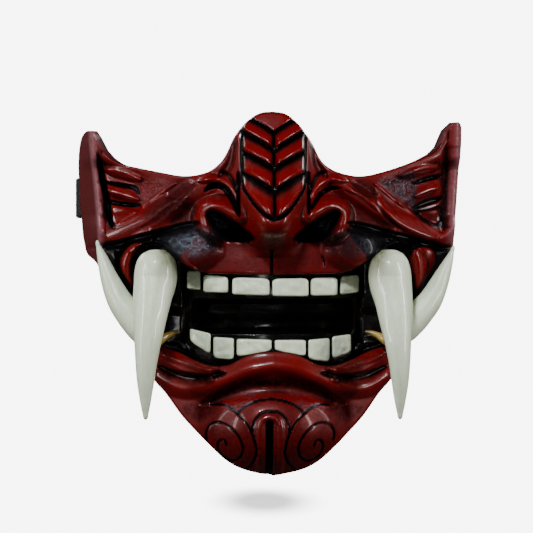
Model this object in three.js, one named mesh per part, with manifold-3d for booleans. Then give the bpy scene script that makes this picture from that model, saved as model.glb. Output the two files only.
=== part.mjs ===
// An oni half mask: the lower face of an ogre in lacquered resin, with ivory teeth, fangs and tusks,
// and an elastic strap that runs round the back of the head.
// Millimetres, +Z up, the face looks along -Y. A depth is measured forwards, so y = -depth,
// and depth 0 is the plane of the rear edges of the two side walls.
import * as THREE from 'three';
import { mergeVertices } from 'three/addons/utils/BufferGeometryUtils.js';
import Module from 'manifold-3d';

const wasm = await Module();
wasm.setup();

// Driving sizes
const RIDGE_COLUMN = 88; // column value where the front turns into a side wall
const WALL_LENGTH = 48; // column length of a side wall, ridge to rear edge
const MOUTH_COLUMN = 68; // column value of the mouth's corner
const STRETCH_START = 68; // columns further out are spread until they meet the ridge
const CORNER = 4; // half of the rounded stretch at the ridge
const WALL = 4; // shell thickness
const THINNEST = 2.4; // least depth between the front relief and the hollow
const RIM_DROP = 1.2; // how far the outermost row of the front is rolled back
const SEAM_SHARE = 0.28; // height share of the row that carries on the mouth's line
const GAP = 0.35; // clearance between bonded pieces

// Edges of the front, as heights over the columns
const TOP_EDGE = table(['at', 'left', 'right'], [
  [0, 94, 94],
  [6, 93.2, 93.2],
  [11, 90, 90],
  [16, 84.5, 84.5],
  [20, 79, 79],
  [23, 72.5, 72.5],
  [26.5, 68, 68],
  [33, 64, 64],
  [44, 62.2, 62.2],
  [57, 64.4, 65],
  [70, 67.4, 70],
  [75.5, 69.1, 73],
  [80.5, 73, 77.8],
  [82.3, 75, 81.7],
  [83.8, 77.2, 85.8],
  [85.3, 81.2, 89.9],
  [86.8, 84.6, 91.4],
  [88, 85.6, 91.7],
  [91, 86.3, 91.9],
  [103, 87, 92.2],
  [120, 87, 92.2],
  [128, 86, 91],
  [133, 83.5, 88],
  [136, 78, 82],
]);
const BOTTOM_EDGE = table(['at', 'z'], [
  [0, -87.4],
  [14.5, -84.3],
  [23, -80],
  [31.3, -72],
  [38.5, -64.5],
  [45.5, -57],
  [54, -45.5],
  [59, -41],
  [64, -34],
  [69, -24],
  [73.6, -12],
  [77.8, 0],
  [82, 9],
  [85, 13],
  [88, 14.5],
  [93, 16],
  [103, 19],
  [118, 22.5],
  [128, 25.5],
  [133, 29],
  [136, 36],
]);
const MOUTH_EDGE = table(['at', 'top', 'bottom'], [
  [0, 12.7, -25.3],
  [8, 12.8, -26],
  [15, 12.9, -28.3],
  [21, 13, -31.5],
  [27, 13.2, -33.5],
  [33, 13.5, -33.3],
  [40, 15.5, -30.8],
  [45, 18.5, -28],
  [50, 22, -25.5],
  [55, 25.3, -23.5],
  [60, 26.8, -21],
  [63.5, 24.5, -17],
  [66, 18, -11],
  [67.5, 9, -5],
  [68, 0, 0],
]);

// Plan of the shell: how deep the middle stands and how far the side falls back
const BASE = table(['z', 'middle', 'fall'], [
  [-87, 72, 30],
  [-65, 80, 28],
  [-40, 78, 22],
  [-10, 78, 20],
  [10, 80, 16],
  [30, 77, 13],
  [60, 72, 12],
  [92, 70, 10],
]);
const FALL_REACH = 60;
const FALL_POWER = 2.1;
const RIDGE_X = table(['z', 'left', 'right'], [
  [14, 86.6, 91.8],
  [30, 87.2, 92.2],
  [50, 89.3, 92.9],
  [80, 92.4, 93.9],
]);
const REAR_X = table(['z', 'x'], [
  [20, 97],
  [40, 99.3],
  [64, 101.2],
  [84, 101.8],
]);
const RIDGE_BEAD = { rise: 6.5, foot: 28, full: 36 };

// Raised forms
const NOSE = table(['z', 'rise', 'half'], [
  [21, 0, 8],
  [25, 5, 9],
  [29, 14, 10],
  [33, 23, 12],
  [38, 27.5, 14],
  [44, 27, 15.5],
  [52, 24, 17],
  [64, 19, 18],
  [76, 14, 18.5],
  [88, 8, 17],
  [96, 3, 15],
]);
const DOMES = table(['x', 'z', 'wide', 'high', 'rise'], [
  [27, 41, 14, 12.5, 12],
  [42, 29, 16, 10, 4.5],
]);
const CHIN_BOSS = { x: 0, z: -66, wide: 30, high: 22, rise: 7 };
const NOSTRIL = { x: 22.5, z: 36.5, long: 12, short: 6.5, tilt: 37, depth: 10 };
const NOSTRIL_BACK = { x: 22.5, z: 36.5, wide: 19, high: 16, rise: 7 };
const FOLDS = [
  fold('cheek band', 6, 4, [[34, 57.5], [46, 50], [58, 42.5], [72, 36], [86, 31.5]]),
  fold('middle rib of the fan', 5, 3, [[66, 49.5], [75, 53.5], [84, 56.5]]),
  fold('fold beside the fang', 5, 3.5, [[62, 32], [69.5, 28], [74, 20], [74.5, 10], [73, 0]]),
  fold('corner of the lower lip', 5, 4, [[32, -37], [42, -35.5], [50, -32], [55, -29]]),
  fold('lower lip', 6, 3.5, [[0, -32], [12, -34], [24, -39], [36, -43.5], [48, -43], [58, -38]]),
  fold('valley under the lip', 6, -2.5, [[0, -44], [10, -44.5], [20, -47]]),
];
const FAN = { apex: 49, full: 76, depth: 5, soft: 7 };
const FAN_EDGES = table(['x', 'low', 'high'], [
  [49, 60, 61],
  [53, 53.5, 62],
  [60, 46, 64],
  [71, 40, 67.5],
  [85, 37, 73],
]);

// Mouth insert
const POCKET = {
  margin: 8, // overlap behind the lips
  endMargin: 4, // the same at the corners
  gap: 0.7, // clearance behind the shell
  cornerGap: 1.3, // the same past the corners of the mouth
  wall: 3,
  ramp: 4, // how steeply it comes forward inside the lips
  gum: 6, // depth of the gum behind the front of the teeth
  cavity: 20, // depth of the open mouth behind the front of the teeth
  cavityTop: 1,
  cavityBottom: -17,
  cavityHalf: 41,
  seatStart: 43.6, // from here out it rises to the seats of the fangs and the tusks
  seatFull: 46,
  lipClear: 2.3, // width inside the lips that stays behind them
  fangSeat: 62,
  tuskSeat: 59,
};
const LIP_PAD = { x: 49.5, z: -25, wide: 8, high: 3.9, rise: 7 };
const ARCH = { upper: 80, lower: 77, reach: 43, fall: 14 };

// Teeth, as heights of their corners over their two sides
const TOOTH_COLUMNS = ['from', 'to', 'topFrom', 'topTo', 'footFrom', 'footTo', 'back'];
const UPPER_TEETH = table(TOOTH_COLUMNS, [
  [-43, -36, 15, 14.6, 5.6, 5.2, 1.2],
  [-34.8, -22.3, 13, 11.9, 4, 3.7, 0],
  [-20.4, -1.9, 11.6, 11, 2.9, 2.4, 0],
  [-0.6, 17.5, 10.9, 11.2, 2.1, 2, 0],
  [18.5, 32.2, 11.2, 11.6, 2.2, 2.5, 0],
  [33.5, 43.4, 12, 13, 2.7, 4, 0.8],
]);
const LOWER_TEETH = table(TOOTH_COLUMNS, [
  [-41.5, -30.7, -14, -16.5, -20.5, -27, 0],
  [-30, -19.1, -18.2, -18.8, -28.5, -29.2, 0],
  [-18.5, -0.5, -19, -19.5, -27.4, -24.6, 0],
  [0.4, 16.6, -19.6, -19.6, -24.6, -26.8, 0],
  [17.2, 28.6, -19.6, -18.6, -29.2, -30.4, 0],
  [29.3, 39.5, -18, -15.5, -29.5, -25.5, 0],
]);
const TOOTH_RINGS = table(['share', 'drop'], [
  [1, 2.2],
  [0.94, 0.8],
  [0.72, 0.15],
]);
const TOOTH_SIDES = 12;
const TOOTH_SQUARENESS = 4.5;

// Fangs and tusks along their axes, outwards from the middle of the face
const FANG = table(['x', 'depth', 'z', 'radius'], [
  [57.6, 70.5, 24.6, 4.6],
  [57.7, 70.5, 22.6, 7.6],
  [57.9, 70.6, 19, 9.7],
  [58.3, 71, 14, 10.6],
  [58.8, 71.8, 9, 10.6],
  [60.2, 75.6, 0, 9.5],
  [61.4, 79.7, -10, 8.1],
  [62.3, 82.7, -20, 6.7],
  [63, 83.7, -30, 5.4],
  [63.4, 83.3, -40, 4.2],
  [63.5, 81.9, -50, 2.7],
  [63.5, 80.8, -56, 1.5],
]);
const FANG_ROOT = [57.6, 70.5, 25.4];
const FANG_TIP = [63.5, 80.2, -58.8];
const TUSK = table(['x', 'depth', 'z', 'radius', 'shift'], [
  [47.2, 60.6, -16.2, 1.3, 0],
  [50, 60.9, -17, 1.7, 0],
  [53.5, 61.9, -18.6, 2.2, 0],
  [57, 64, -21, 3, 0],
  [60.5, 65.8, -19.6, 5.2, 0],
  [65, 66, -15.3, 6.8, 0],
  [69.5, 64.8, -10.8, 7, 0.2],
  [73.5, 63.6, -6, 6.8, 0.5],
  [78.2, 61.8, 0.3, 6.1, 0.8],
  [83, 59.6, 10, 4.6, 1.2],
  [87, 57.8, 20, 2.6, 1.5],
  [89.2, 57, 26, 1.1, 1.6],
]);
const TUSK_ROOT = [46.4, 60.6, -16];
const TUSK_TIP = [90, 56.8, 28.8];
const TUSK_TIP_SHIFT = 1.7;
const TUSK_TIP_DROP = 1.3; // the left tip stands this much above the mean, the right one below
const TUSK_SEAT_END = 58; // the tusk's flat back ends here
const HORN_SIDES = 14;

// Strap
const STRAP = { width: 21, thick: 2, middle: 52, stations: 23 };
const STRAP_PATH = table(['left', 'right', 'depth'], [
  [87.2, 89.4, 24],
  [90.1, 91.6, 12],
  [93, 93.8, 0],
  [98.6, 98.6, -10],
  [101.6, 101.6, -24],
  [100.4, 100.4, -44],
  [90, 90, -70],
  [66, 66, -88],
  [34, 34, -96],
  [0, 0, -98],
]);
const ANCHOR = { thick: 2.5, long: 16, high: 16, depth: 14 };

// Mesh density of the shell and the mouth insert
const SIDE_COLUMNS = [
  ...steps(0, 60, 18),
  ...[62, 64, 65.6, 66.8, 67.5, 68],
  ...[70.5, 73, 76, 79, 82, 84, 86, 88],
  ...[90, 92, 97, 104, 114, 124, 132, 136],
];
const LOWER_ROWS = 12;
const UPPER_ROWS = 20;
const POCKET_COLUMNS = [...steps(0, 40, 10), 43.6, 46, 50, 54, 58, 62, 64, 65.5, 67, 68.5, 71, 74];
const POCKET_ROWS = 14;

const SEAT = { x: 0, z: 78 }; // where the bridge of a nose meets the hollow of the mask

const MATERIALS = {
  lacquer: { color: 0x7a0d0d, roughness: 0.35, metalness: 0 },
  black: { color: 0x0a0909, roughness: 0.3, metalness: 0 },
  ivory: { color: 0xdedccb, roughness: 0.4, metalness: 0 },
  elastic: { color: 0x101010, roughness: 0.9, metalness: 0 },
  plate: { color: 0x1a1a1a, roughness: 0.6, metalness: 0 },
};

function table(names, rows) {
  return rows.map((row) => Object.fromEntries(names.map((name, index) => [name, row[index]])));
}

function fold(name, reach, rise, path) {
  return { name, reach, rise, line: smoothLine(path) };
}

function steps(from, to, count) {
  return Array.from({ length: count + 1 }, (_, index) => from + ((to - from) * index) / count);
}

function clamp(value, low, high) {
  return Math.min(Math.max(value, low), high);
}

function mix(a, b, share) {
  return a + (b - a) * share;
}

function smooth(value) {
  const t = clamp(value, 0, 1);
  return t * t * (3 - 2 * t);
}

// A roll of height 1 that ends level at distance 1
function roll(distance) {
  const t = 1 - Math.min(distance * distance, 1);
  return t * t;
}

// A full dome of height 1 over the unit circle, from the squared distance
function dome(squared) {
  const t = 1 - Math.min(squared * squared, 1);
  return t * t;
}

// A smooth function through the rows of a table, level past its ends
function curve(rows, key, name) {
  const at = rows.map((row) => row[key]);
  const value = rows.map((row) => row[name]);
  const last = at.length - 1;
  const slope = value.map((_, i) => {
    const before = Math.max(i - 1, 0);
    const after = Math.min(i + 1, last);
    return (value[after] - value[before]) / (at[after] - at[before]);
  });
  return (place) => {
    const v = clamp(place, at[0], at[last]);
    let i = 0;
    while (i < last - 1 && at[i + 1] < v) i += 1;
    const span = at[i + 1] - at[i];
    const t = (v - at[i]) / span;
    const rise = t * t * (3 - 2 * t);
    const leave = t * (1 - t) * (1 - t) * span * slope[i];
    const arrive = t * t * (t - 1) * span * slope[i + 1];
    return mix(value[i], value[i + 1], rise) + leave + arrive;
  };
}

// A path through points of the front view, cut into short straight stretches
function smoothLine(points) {
  const rows = points.map(([x, z], index) => ({ index, x, z }));
  const x = curve(rows, 'index', 'x');
  const z = curve(rows, 'index', 'z');
  return steps(0, points.length - 1, (points.length - 1) * 5).map((place) => [x(place), z(place)]);
}

function lineDistance(line, x, z) {
  let least = Infinity;
  for (let i = 1; i < line.length; i += 1) {
    const [ax, az] = line[i - 1];
    const dx = line[i][0] - ax;
    const dz = line[i][1] - az;
    const share = clamp(((x - ax) * dx + (z - az) * dz) / (dx * dx + dz * dz), 0, 1);
    least = Math.min(least, Math.hypot(x - ax - share * dx, z - az - share * dz));
  }
  return least;
}

const topEdge = { left: curve(TOP_EDGE, 'at', 'left'), right: curve(TOP_EDGE, 'at', 'right') };
const ridgeX = { left: curve(RIDGE_X, 'z', 'left'), right: curve(RIDGE_X, 'z', 'right') };
const bottomEdge = curve(BOTTOM_EDGE, 'at', 'z');
const mouthTop = curve(MOUTH_EDGE, 'at', 'top');
const mouthBottom = curve(MOUTH_EDGE, 'at', 'bottom');
const rearX = curve(REAR_X, 'z', 'x');
const baseMiddle = curve(BASE, 'z', 'middle');
const baseFall = curve(BASE, 'z', 'fall');
const noseRise = curve(NOSE, 'z', 'rise');
const noseHalf = curve(NOSE, 'z', 'half');
const fanLow = curve(FAN_EDGES, 'x', 'low');
const fanHigh = curve(FAN_EDGES, 'x', 'high');

function sideName(column) {
  return column < 0 ? 'left' : 'right';
}

function formDepth(x, z) {
  const side = Math.abs(x);
  const base = baseMiddle(z) - baseFall(z) * (side / FALL_REACH) ** FALL_POWER;
  const nose = noseRise(z) * Math.exp(-((side / noseHalf(z)) ** 3));
  return base + nose + domeRise(CHIN_BOSS, side, z) - fanRecess(side, z);
}

function domeRise(row, side, z) {
  return row.rise * dome(((side - row.x) / row.wide) ** 2 + ((z - row.z) / row.high) ** 2);
}

function nostril(side, z) {
  const turn = THREE.MathUtils.degToRad(NOSTRIL.tilt);
  const dx = side - NOSTRIL.x;
  const dz = z - NOSTRIL.z;
  const along = (dx * Math.cos(turn) + dz * Math.sin(turn)) / NOSTRIL.long;
  const across = (dz * Math.cos(turn) - dx * Math.sin(turn)) / NOSTRIL.short;
  return NOSTRIL.depth * dome(along * along + across * across);
}

function fanRecess(side, z) {
  const inside = smooth((z - fanLow(side)) / FAN.soft) * smooth((fanHigh(side) - z) / FAN.soft);
  return FAN.depth * inside * smooth((side - FAN.apex) / (FAN.full - FAN.apex));
}

function frontDepth(x, z) {
  const side = Math.abs(x);
  let depth = formDepth(x, z) - nostril(side, z);
  for (const row of DOMES) depth += domeRise(row, side, z);
  for (const { line, reach, rise } of FOLDS) {
    depth += rise * roll(lineDistance(line, side, z) / reach);
  }
  return depth;
}

// Depth of the hollow side: the plain form moved in by the wall, and behind every groove
function innerDepth(x, z) {
  const step = 1;
  const across = (formDepth(x + step, z) - formDepth(x - step, z)) / (2 * step);
  const up = (formDepth(x, z + step) - formDepth(x, z - step)) / (2 * step);
  const slant = Math.min(Math.hypot(1, across, up), 1.8);
  const relief = domeRise(NOSTRIL_BACK, Math.abs(x), z);
  return Math.min(formDepth(x, z) - WALL * slant - relief, frontDepth(x, z) - THINNEST);
}

function columnX(column, z) {
  const side = Math.abs(column);
  const share = clamp((side - STRETCH_START) / (RIDGE_COLUMN - STRETCH_START), 0, 1);
  const reach = side + (ridgeX[sideName(column)](z) - RIDGE_COLUMN) * share * share;
  return column < 0 ? -reach : reach;
}

function frontPanel(column, z) {
  const x = columnX(column, z);
  return { x, depth: frontDepth(x, z) };
}

function frontWall(sign, along, z) {
  const ridge = frontPanel(sign * RIDGE_COLUMN, z);
  const share = along / WALL_LENGTH;
  return { x: mix(ridge.x, sign * rearX(z), share), depth: ridge.depth * (1 - share) };
}

// The front, a rounded ridge with a bead, and the side wall
function frontPoint(column, z) {
  const side = Math.abs(column);
  const sign = column < 0 ? -1 : 1;
  if (side <= RIDGE_COLUMN - CORNER) return frontPanel(column, z);
  if (side >= RIDGE_COLUMN + CORNER) return frontWall(sign, side - RIDGE_COLUMN, z);
  const before = frontPanel(sign * (RIDGE_COLUMN - CORNER), z);
  const ridge = frontPanel(sign * RIDGE_COLUMN, z);
  const after = frontWall(sign, CORNER, z);
  const bead = RIDGE_BEAD.rise * smooth((z - RIDGE_BEAD.foot) / (RIDGE_BEAD.full - RIDGE_BEAD.foot));
  const t = (side - RIDGE_COLUMN + CORNER) / (2 * CORNER);
  const blend = (a, b, c) => (1 - t) ** 2 * a + 2 * t * (1 - t) * b + t ** 2 * c;
  return {
    x: blend(before.x, ridge.x, after.x),
    depth: blend(before.depth, ridge.depth + bead, after.depth),
  };
}

function innerPoint(column, z) {
  const side = Math.abs(column);
  const sign = column < 0 ? -1 : 1;
  const inset = WALL * smooth((side - STRETCH_START) / (RIDGE_COLUMN - STRETCH_START));
  const x = columnX(Math.min(side, RIDGE_COLUMN) * sign, z) - sign * inset;
  const depth = innerDepth(x, z);
  if (side <= RIDGE_COLUMN) return { x, depth };
  const share = (side - RIDGE_COLUMN) / WALL_LENGTH;
  return { x: mix(x, sign * (rearX(z) - WALL), share), depth: depth * (1 - share) };
}

// A closed body under construction: its corners and its triangles
class Body {
  constructor() {
    this.corners = [];
    this.faces = [];
  }

  corner(x, depth, z) {
    this.corners.push(x, -depth, z);
    return this.corners.length / 3 - 1;
  }

  triangle(a, b, c) {
    if (a !== b && b !== c && c !== a) this.faces.push(a, b, c);
  }

  quad(a, b, c, d) {
    this.triangle(a, b, c);
    this.triangle(a, c, d);
  }

  // A sheet of corners in columns, facing forwards, or backwards if turned
  sheet(columns, turned) {
    for (let c = 1; c < columns.length; c += 1) {
      for (let r = 1; r < columns[c].length; r += 1) {
        const ring = [columns[c - 1][r - 1], columns[c][r - 1], columns[c][r], columns[c - 1][r]];
        if (turned) ring.reverse();
        this.quad(...ring);
      }
    }
  }

  // A rim from a closed loop of corners to a loop with half as many
  rim(fine, coarse) {
    for (let i = 0; i < coarse.length; i += 1) {
      const [first, middle, end] = [0, 1, 2].map((step) => fine[(2 * i + step) % fine.length]);
      const near = coarse[i];
      const far = coarse[(i + 1) % coarse.length];
      this.triangle(middle, first, near);
      this.triangle(middle, near, far);
      this.triangle(end, middle, far);
    }
  }

  geometry() {
    const geometry = new THREE.BufferGeometry();
    geometry.setAttribute('position', new THREE.Float32BufferAttribute(this.corners, 3));
    geometry.setIndex(this.faces);
    return geometry;
  }
}

function border(columns) {
  const last = columns.length - 1;
  const top = columns[0].length - 1;
  return [
    ...columns.map((column) => column[0]),
    ...columns[last].slice(1),
    ...columns.slice(0, last).reverse().map((column) => column[top]),
    ...columns[0].slice(1, top).reverse(),
  ];
}

function everySecond(columns) {
  const even = (_, index) => index % 2 === 0;
  return columns.filter(even).map((column) => column.filter(even));
}

// Columns of one side, given from the middle outwards, on both sides
function mirrored(columns) {
  return [...columns.slice(1).reverse().map((column) => -column), ...columns];
}

// Corners of one side of the shell, below and above the line of the mouth
function shellSheets(body, columns, lowerRows, upperRows, place) {
  const lower = [];
  const upper = [];
  for (const column of columns) {
    const side = Math.abs(column);
    const foot = bottomEdge(side);
    const crown = topEdge[sideName(column)](side);
    const open = side < MOUTH_COLUMN;
    const seam = mix(foot, crown, SEAM_SHARE);
    const lipBelow = open ? mouthBottom(side) : seam;
    const lipAbove = open ? mouthTop(side) : seam;
    const make = (z, edge) => {
      const { x, depth } = place(column, z, edge);
      return body.corner(x, depth, z);
    };
    const below = steps(foot, lipBelow, lowerRows)
      .map((z, row) => make(z, row === 0 || (open && row === lowerRows)));
    const above = steps(lipAbove, crown, upperRows).slice(open ? 0 : 1)
      .map((z, row, all) => make(z, row === all.length - 1 || (open && row === 0)));
    lower.push(below);
    upper.push(open ? above : [below[lowerRows], ...above]);
  }
  return { lower, upper };
}

function mouthLoop(columns, sheets, lowerRows) {
  const from = columns.findIndex((column) => column > -MOUTH_COLUMN) - 1;
  const to = columns.findIndex((column) => column >= MOUTH_COLUMN);
  const below = sheets.lower.slice(from, to + 1).map((column) => column[lowerRows]);
  const above = sheets.upper.slice(from + 1, to).map((column) => column[0]);
  return [...below.reverse(), ...above];
}

function joined(sheets) {
  return sheets.lower.map((column, index) => [...column, ...sheets.upper[index].slice(1)]);
}

function shellGeometry() {
  const body = new Body();
  const fine = mirrored(SIDE_COLUMNS);
  const coarse = fine.filter((_, index) => index % 2 === 0);
  const front = shellSheets(body, fine, LOWER_ROWS, UPPER_ROWS, (column, z, edge) => {
    const { x, depth } = frontPoint(column, z);
    const flat = 1 - smooth((Math.abs(column) - RIDGE_COLUMN + 2 * CORNER) / CORNER);
    return { x, depth: depth - (edge ? RIM_DROP * flat : 0) };
  });
  const hollow = shellSheets(body, coarse, LOWER_ROWS / 2, UPPER_ROWS / 2, innerPoint);
  for (const [sheets, turned] of [[front, false], [hollow, true]]) {
    body.sheet(sheets.lower, turned);
    body.sheet(sheets.upper, turned);
  }
  body.rim(border(joined(front)), border(joined(hollow)));
  body.rim(mouthLoop(fine, front, LOWER_ROWS), mouthLoop(coarse, hollow, LOWER_ROWS / 2));
  return body.geometry();
}

const MOUTH_LINE = [
  ...steps(0, MOUTH_COLUMN, 60).map((x) => [x, mouthTop(x)]),
  ...steps(MOUTH_COLUMN, 0, 60).slice(1).map((x) => [x, mouthBottom(x)]),
];

function insideMouth(x, z) {
  const side = Math.abs(x);
  const inside = side < MOUTH_COLUMN && z < mouthTop(side) && z > mouthBottom(side);
  return inside ? lineDistance(MOUTH_LINE, side, z) : 0;
}

function archDepth(middle, x) {
  return middle - ARCH.fall * (x / ARCH.reach) ** 2;
}

// The insert as it would be if the lips didn't limit it
function pocketForm(x, z) {
  const side = Math.abs(x);
  const archMiddle = mix(ARCH.lower, ARCH.upper, smooth((z + 12) / 8));
  const arch = archDepth(archMiddle, Math.min(side, POCKET.seatStart));
  const wide = smooth((POCKET.cavityHalf - side) / 4);
  const high = smooth((POCKET.cavityTop - z) / 3) * smooth((z - POCKET.cavityBottom) / 3);
  const bowl = mix(arch - POCKET.gum, archDepth(archMiddle, side) - POCKET.cavity, wide * high);
  const seat = mix(POCKET.tuskSeat, POCKET.fangSeat, smooth((z + 8) / 5));
  const pad = domeRise(LIP_PAD, side, z);
  const outward = (side - POCKET.seatStart) / (POCKET.seatFull - POCKET.seatStart);
  return mix(bowl, seat, smooth(outward)) + pad;
}

function pocketDepth(x, z) {
  const free = Math.max(insideMouth(x, z) - POCKET.lipClear, 0) * POCKET.ramp;
  const gap = mix(POCKET.gap, POCKET.cornerGap, smooth((Math.abs(x) - 64) / 3));
  return Math.min(pocketForm(x, z), innerDepth(x, z) - gap + free);
}

function pocketGeometry() {
  const body = new Body();
  const front = mirrored(POCKET_COLUMNS).map((x) => {
    const side = Math.min(Math.abs(x), MOUTH_COLUMN);
    const margin = mix(POCKET.margin, POCKET.endMargin, smooth((Math.abs(x) - 60) / 8));
    const foot = mouthBottom(side) - margin;
    const crown = mouthTop(side) + margin;
    return steps(foot, crown, POCKET_ROWS).map((z) => body.corner(x, pocketDepth(x, z), z));
  });
  const back = everySecond(front).map((column) => column.map((corner) => {
    const [x, y, z] = body.corners.slice(3 * corner, 3 * corner + 3);
    return body.corner(x, -y - POCKET.wall, z);
  }));
  body.sheet(front, false);
  body.sheet(back, true);
  body.rim(border(front), border(back));
  return body.geometry();
}

// A closed skin over rings of corners that turn right-handed about their run
function loft(body, rings, start, end) {
  const count = rings[0].length;
  const next = (index) => (index + 1) % count;
  for (let i = 0; i < count; i += 1) {
    body.triangle(start, rings[0][next(i)], rings[0][i]);
    body.triangle(end, rings[rings.length - 1][i], rings[rings.length - 1][next(i)]);
    for (let r = 1; r < rings.length; r += 1) {
      body.quad(rings[r - 1][i], rings[r - 1][next(i)], rings[r][next(i)], rings[r][i]);
    }
  }
}

function toothGeometry(row, archMiddle) {
  const body = new Body();
  const middle = (row.from + row.to) / 2;
  const half = (row.to - row.from) / 2;
  const power = 2 / TOOTH_SQUARENESS;
  const ring = (share, depthAt) => steps(0, 2 * Math.PI, TOOTH_SIDES).slice(1).map((angle) => {
    const across = Math.sign(Math.cos(angle)) * Math.abs(Math.cos(angle)) ** power * share;
    const up = Math.sign(Math.sin(angle)) * Math.abs(Math.sin(angle)) ** power * share;
    const x = middle + half * across;
    const top = mix(row.topFrom, row.topTo, (across + 1) / 2);
    const foot = mix(row.footFrom, row.footTo, (across + 1) / 2);
    return body.corner(x, depthAt(x), mix(foot, top, (up + 1) / 2));
  });
  const front = (x) => archDepth(archMiddle, x) - row.back;
  const back = (x) => archDepth(archMiddle, x) - POCKET.gum + GAP;
  const rings = [
    ring(1, back),
    ...TOOTH_RINGS.map(({ share, drop }) => ring(share, (x) => front(x) - drop)),
  ];
  const centre = (row.topFrom + row.topTo + row.footFrom + row.footTo) / 4;
  const start = body.corner(middle, back(middle), centre);
  const end = body.corner(middle, front(middle), centre);
  loft(body, rings, start, end);
  return body.geometry();
}

// A horn with round sections square to its axis, closed to a point at each end
function hornGeometry(rows, root, tip) {
  const body = new Body();
  const centres = rows.map(({ x, depth, z }) => new THREE.Vector3(x, -depth, z));
  const ends = [root, tip].map(([x, depth, z]) => new THREE.Vector3(x, -depth, z));
  const spine = [ends[0], ...centres, ends[1]];
  const rings = rows.map(({ radius }, index) => {
    const along = spine[index + 2].clone().sub(spine[index]).normalize();
    const side = new THREE.Vector3(0, -1, 0).addScaledVector(along, along.y).normalize();
    const up = along.clone().cross(side);
    return steps(0, 2 * Math.PI, HORN_SIDES).slice(1).map((angle) => {
      const corner = centres[index].clone()
        .addScaledVector(side, radius * Math.cos(angle))
        .addScaledVector(up, radius * Math.sin(angle));
      return body.corner(corner.x, -corner.y, corner.z);
    });
  });
  const [start, end] = ends.map((point) => body.corner(point.x, -point.y, point.z));
  loft(body, rings, start, end);
  return body.geometry();
}

function toManifold(geometry) {
  const plain = geometry.clone();
  plain.deleteAttribute('normal');
  plain.deleteAttribute('uv');
  const merged = mergeVertices(plain, 1e-4);
  return new wasm.Manifold(new wasm.Mesh({
    numProp: 3,
    vertProperties: new Float32Array(merged.getAttribute('position').array),
    triVerts: new Uint32Array(merged.getIndex().array),
  }));
}

function fromManifold(solid) {
  const mesh = solid.getMesh();
  const geometry = new THREE.BufferGeometry();
  geometry.setAttribute('position', new THREE.Float32BufferAttribute(mesh.vertProperties, 3));
  geometry.setIndex([...mesh.triVerts]);
  return geometry;
}

// Cuts a piece flat at a depth, over the stretch of x that a box covers
function flatBack(geometry, depth, fromX, toX) {
  const size = 200;
  const box = new THREE.BoxGeometry(toX - fromX, size, size);
  box.translate((fromX + toX) / 2, size / 2 - depth, 0);
  return fromManifold(toManifold(geometry).subtract(toManifold(box)));
}

function fangGeometry(sign) {
  const rows = FANG.map((row) => ({ ...row, x: sign * row.x }));
  const ends = [FANG_ROOT, FANG_TIP].map(([x, depth, z]) => [sign * x, depth, z]);
  return flatBack(hornGeometry(rows, ...ends), POCKET.fangSeat + GAP, -100, 100);
}

function tuskGeometry(sign) {
  const shifted = ({ x, depth, z, radius, shift }) => {
    const drop = (TUSK_TIP_DROP * shift * sign) / TUSK_TIP_SHIFT;
    return { x: sign * x + shift, depth, z: z - drop, radius };
  };
  const root = [sign * TUSK_ROOT[0], TUSK_ROOT[1], TUSK_ROOT[2]];
  const [x, depth, z] = TUSK_TIP;
  const tip = [sign * x + TUSK_TIP_SHIFT, depth, z - TUSK_TIP_DROP * sign];
  const edges = [sign * TUSK_SEAT_END, sign * 40].sort((a, b) => a - b);
  return flatBack(hornGeometry(TUSK.map(shifted), root, tip), POCKET.tuskSeat + GAP, ...edges);
}

// The strap's middle line, from the right wall round the back to the left wall
function strapPath() {
  const rightHalf = STRAP_PATH.map(({ right, depth }) => new THREE.Vector3(right, -depth, 0));
  const leftHalf = STRAP_PATH.map(({ left, depth }) => new THREE.Vector3(-left, -depth, 0));
  const points = [...rightHalf, ...leftHalf.slice(0, -1).reverse()];
  return new THREE.CatmullRomCurve3(points, false, 'centripetal');
}

function strapGeometry() {
  const body = new Body();
  const path = strapPath();
  const count = 2 * STRAP.stations;
  const rings = steps(0, 1, count).map((share) => {
    const centre = path.getPointAt(share);
    const along = path.getTangentAt(share);
    const inward = new THREE.Vector3(-along.y, along.x, 0);
    const corners = [[1, -1], [1, 1], [-1, 1], [-1, -1]];
    return corners.map(([side, up]) => {
      const point = centre.clone().addScaledVector(inward, (side * STRAP.thick) / 2);
      return body.corner(point.x, -point.y, STRAP.middle + (up * STRAP.width) / 2);
    });
  });
  body.quad(...rings[0].slice().reverse());
  body.quad(...rings[count]);
  for (let r = 1; r <= count; r += 1) {
    for (let i = 0; i < 4; i += 1) {
      const j = (i + 1) % 4;
      body.quad(rings[r - 1][i], rings[r - 1][j], rings[r][j], rings[r][i]);
    }
  }
  return body.geometry();
}

// A plain plate on the inner face of a strap end, along the straight stretch beside the wall
function placeAnchor(mesh, side, sign) {
  const [start, next] = STRAP_PATH;
  const run = start.depth - next.depth;
  const turn = Math.atan2(next[side] - start[side], run);
  const offset = STRAP.thick / 2 + GAP + ANCHOR.thick / 2;
  const x = mix(start[side], next[side], (start.depth - ANCHOR.depth) / run) - offset * Math.cos(turn);
  mesh.position.set(sign * x, -ANCHOR.depth + offset * Math.sin(turn), STRAP.middle);
  mesh.rotation.z = -sign * turn;
}

function material(name) {
  return new THREE.MeshStandardMaterial({ name, ...MATERIALS[name] });
}

function addMesh(group, name, geometry, materialName) {
  geometry.computeVertexNormals();
  const mesh = new THREE.Mesh(geometry, material(materialName));
  mesh.name = name;
  group.add(mesh);
  return mesh;
}

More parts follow.
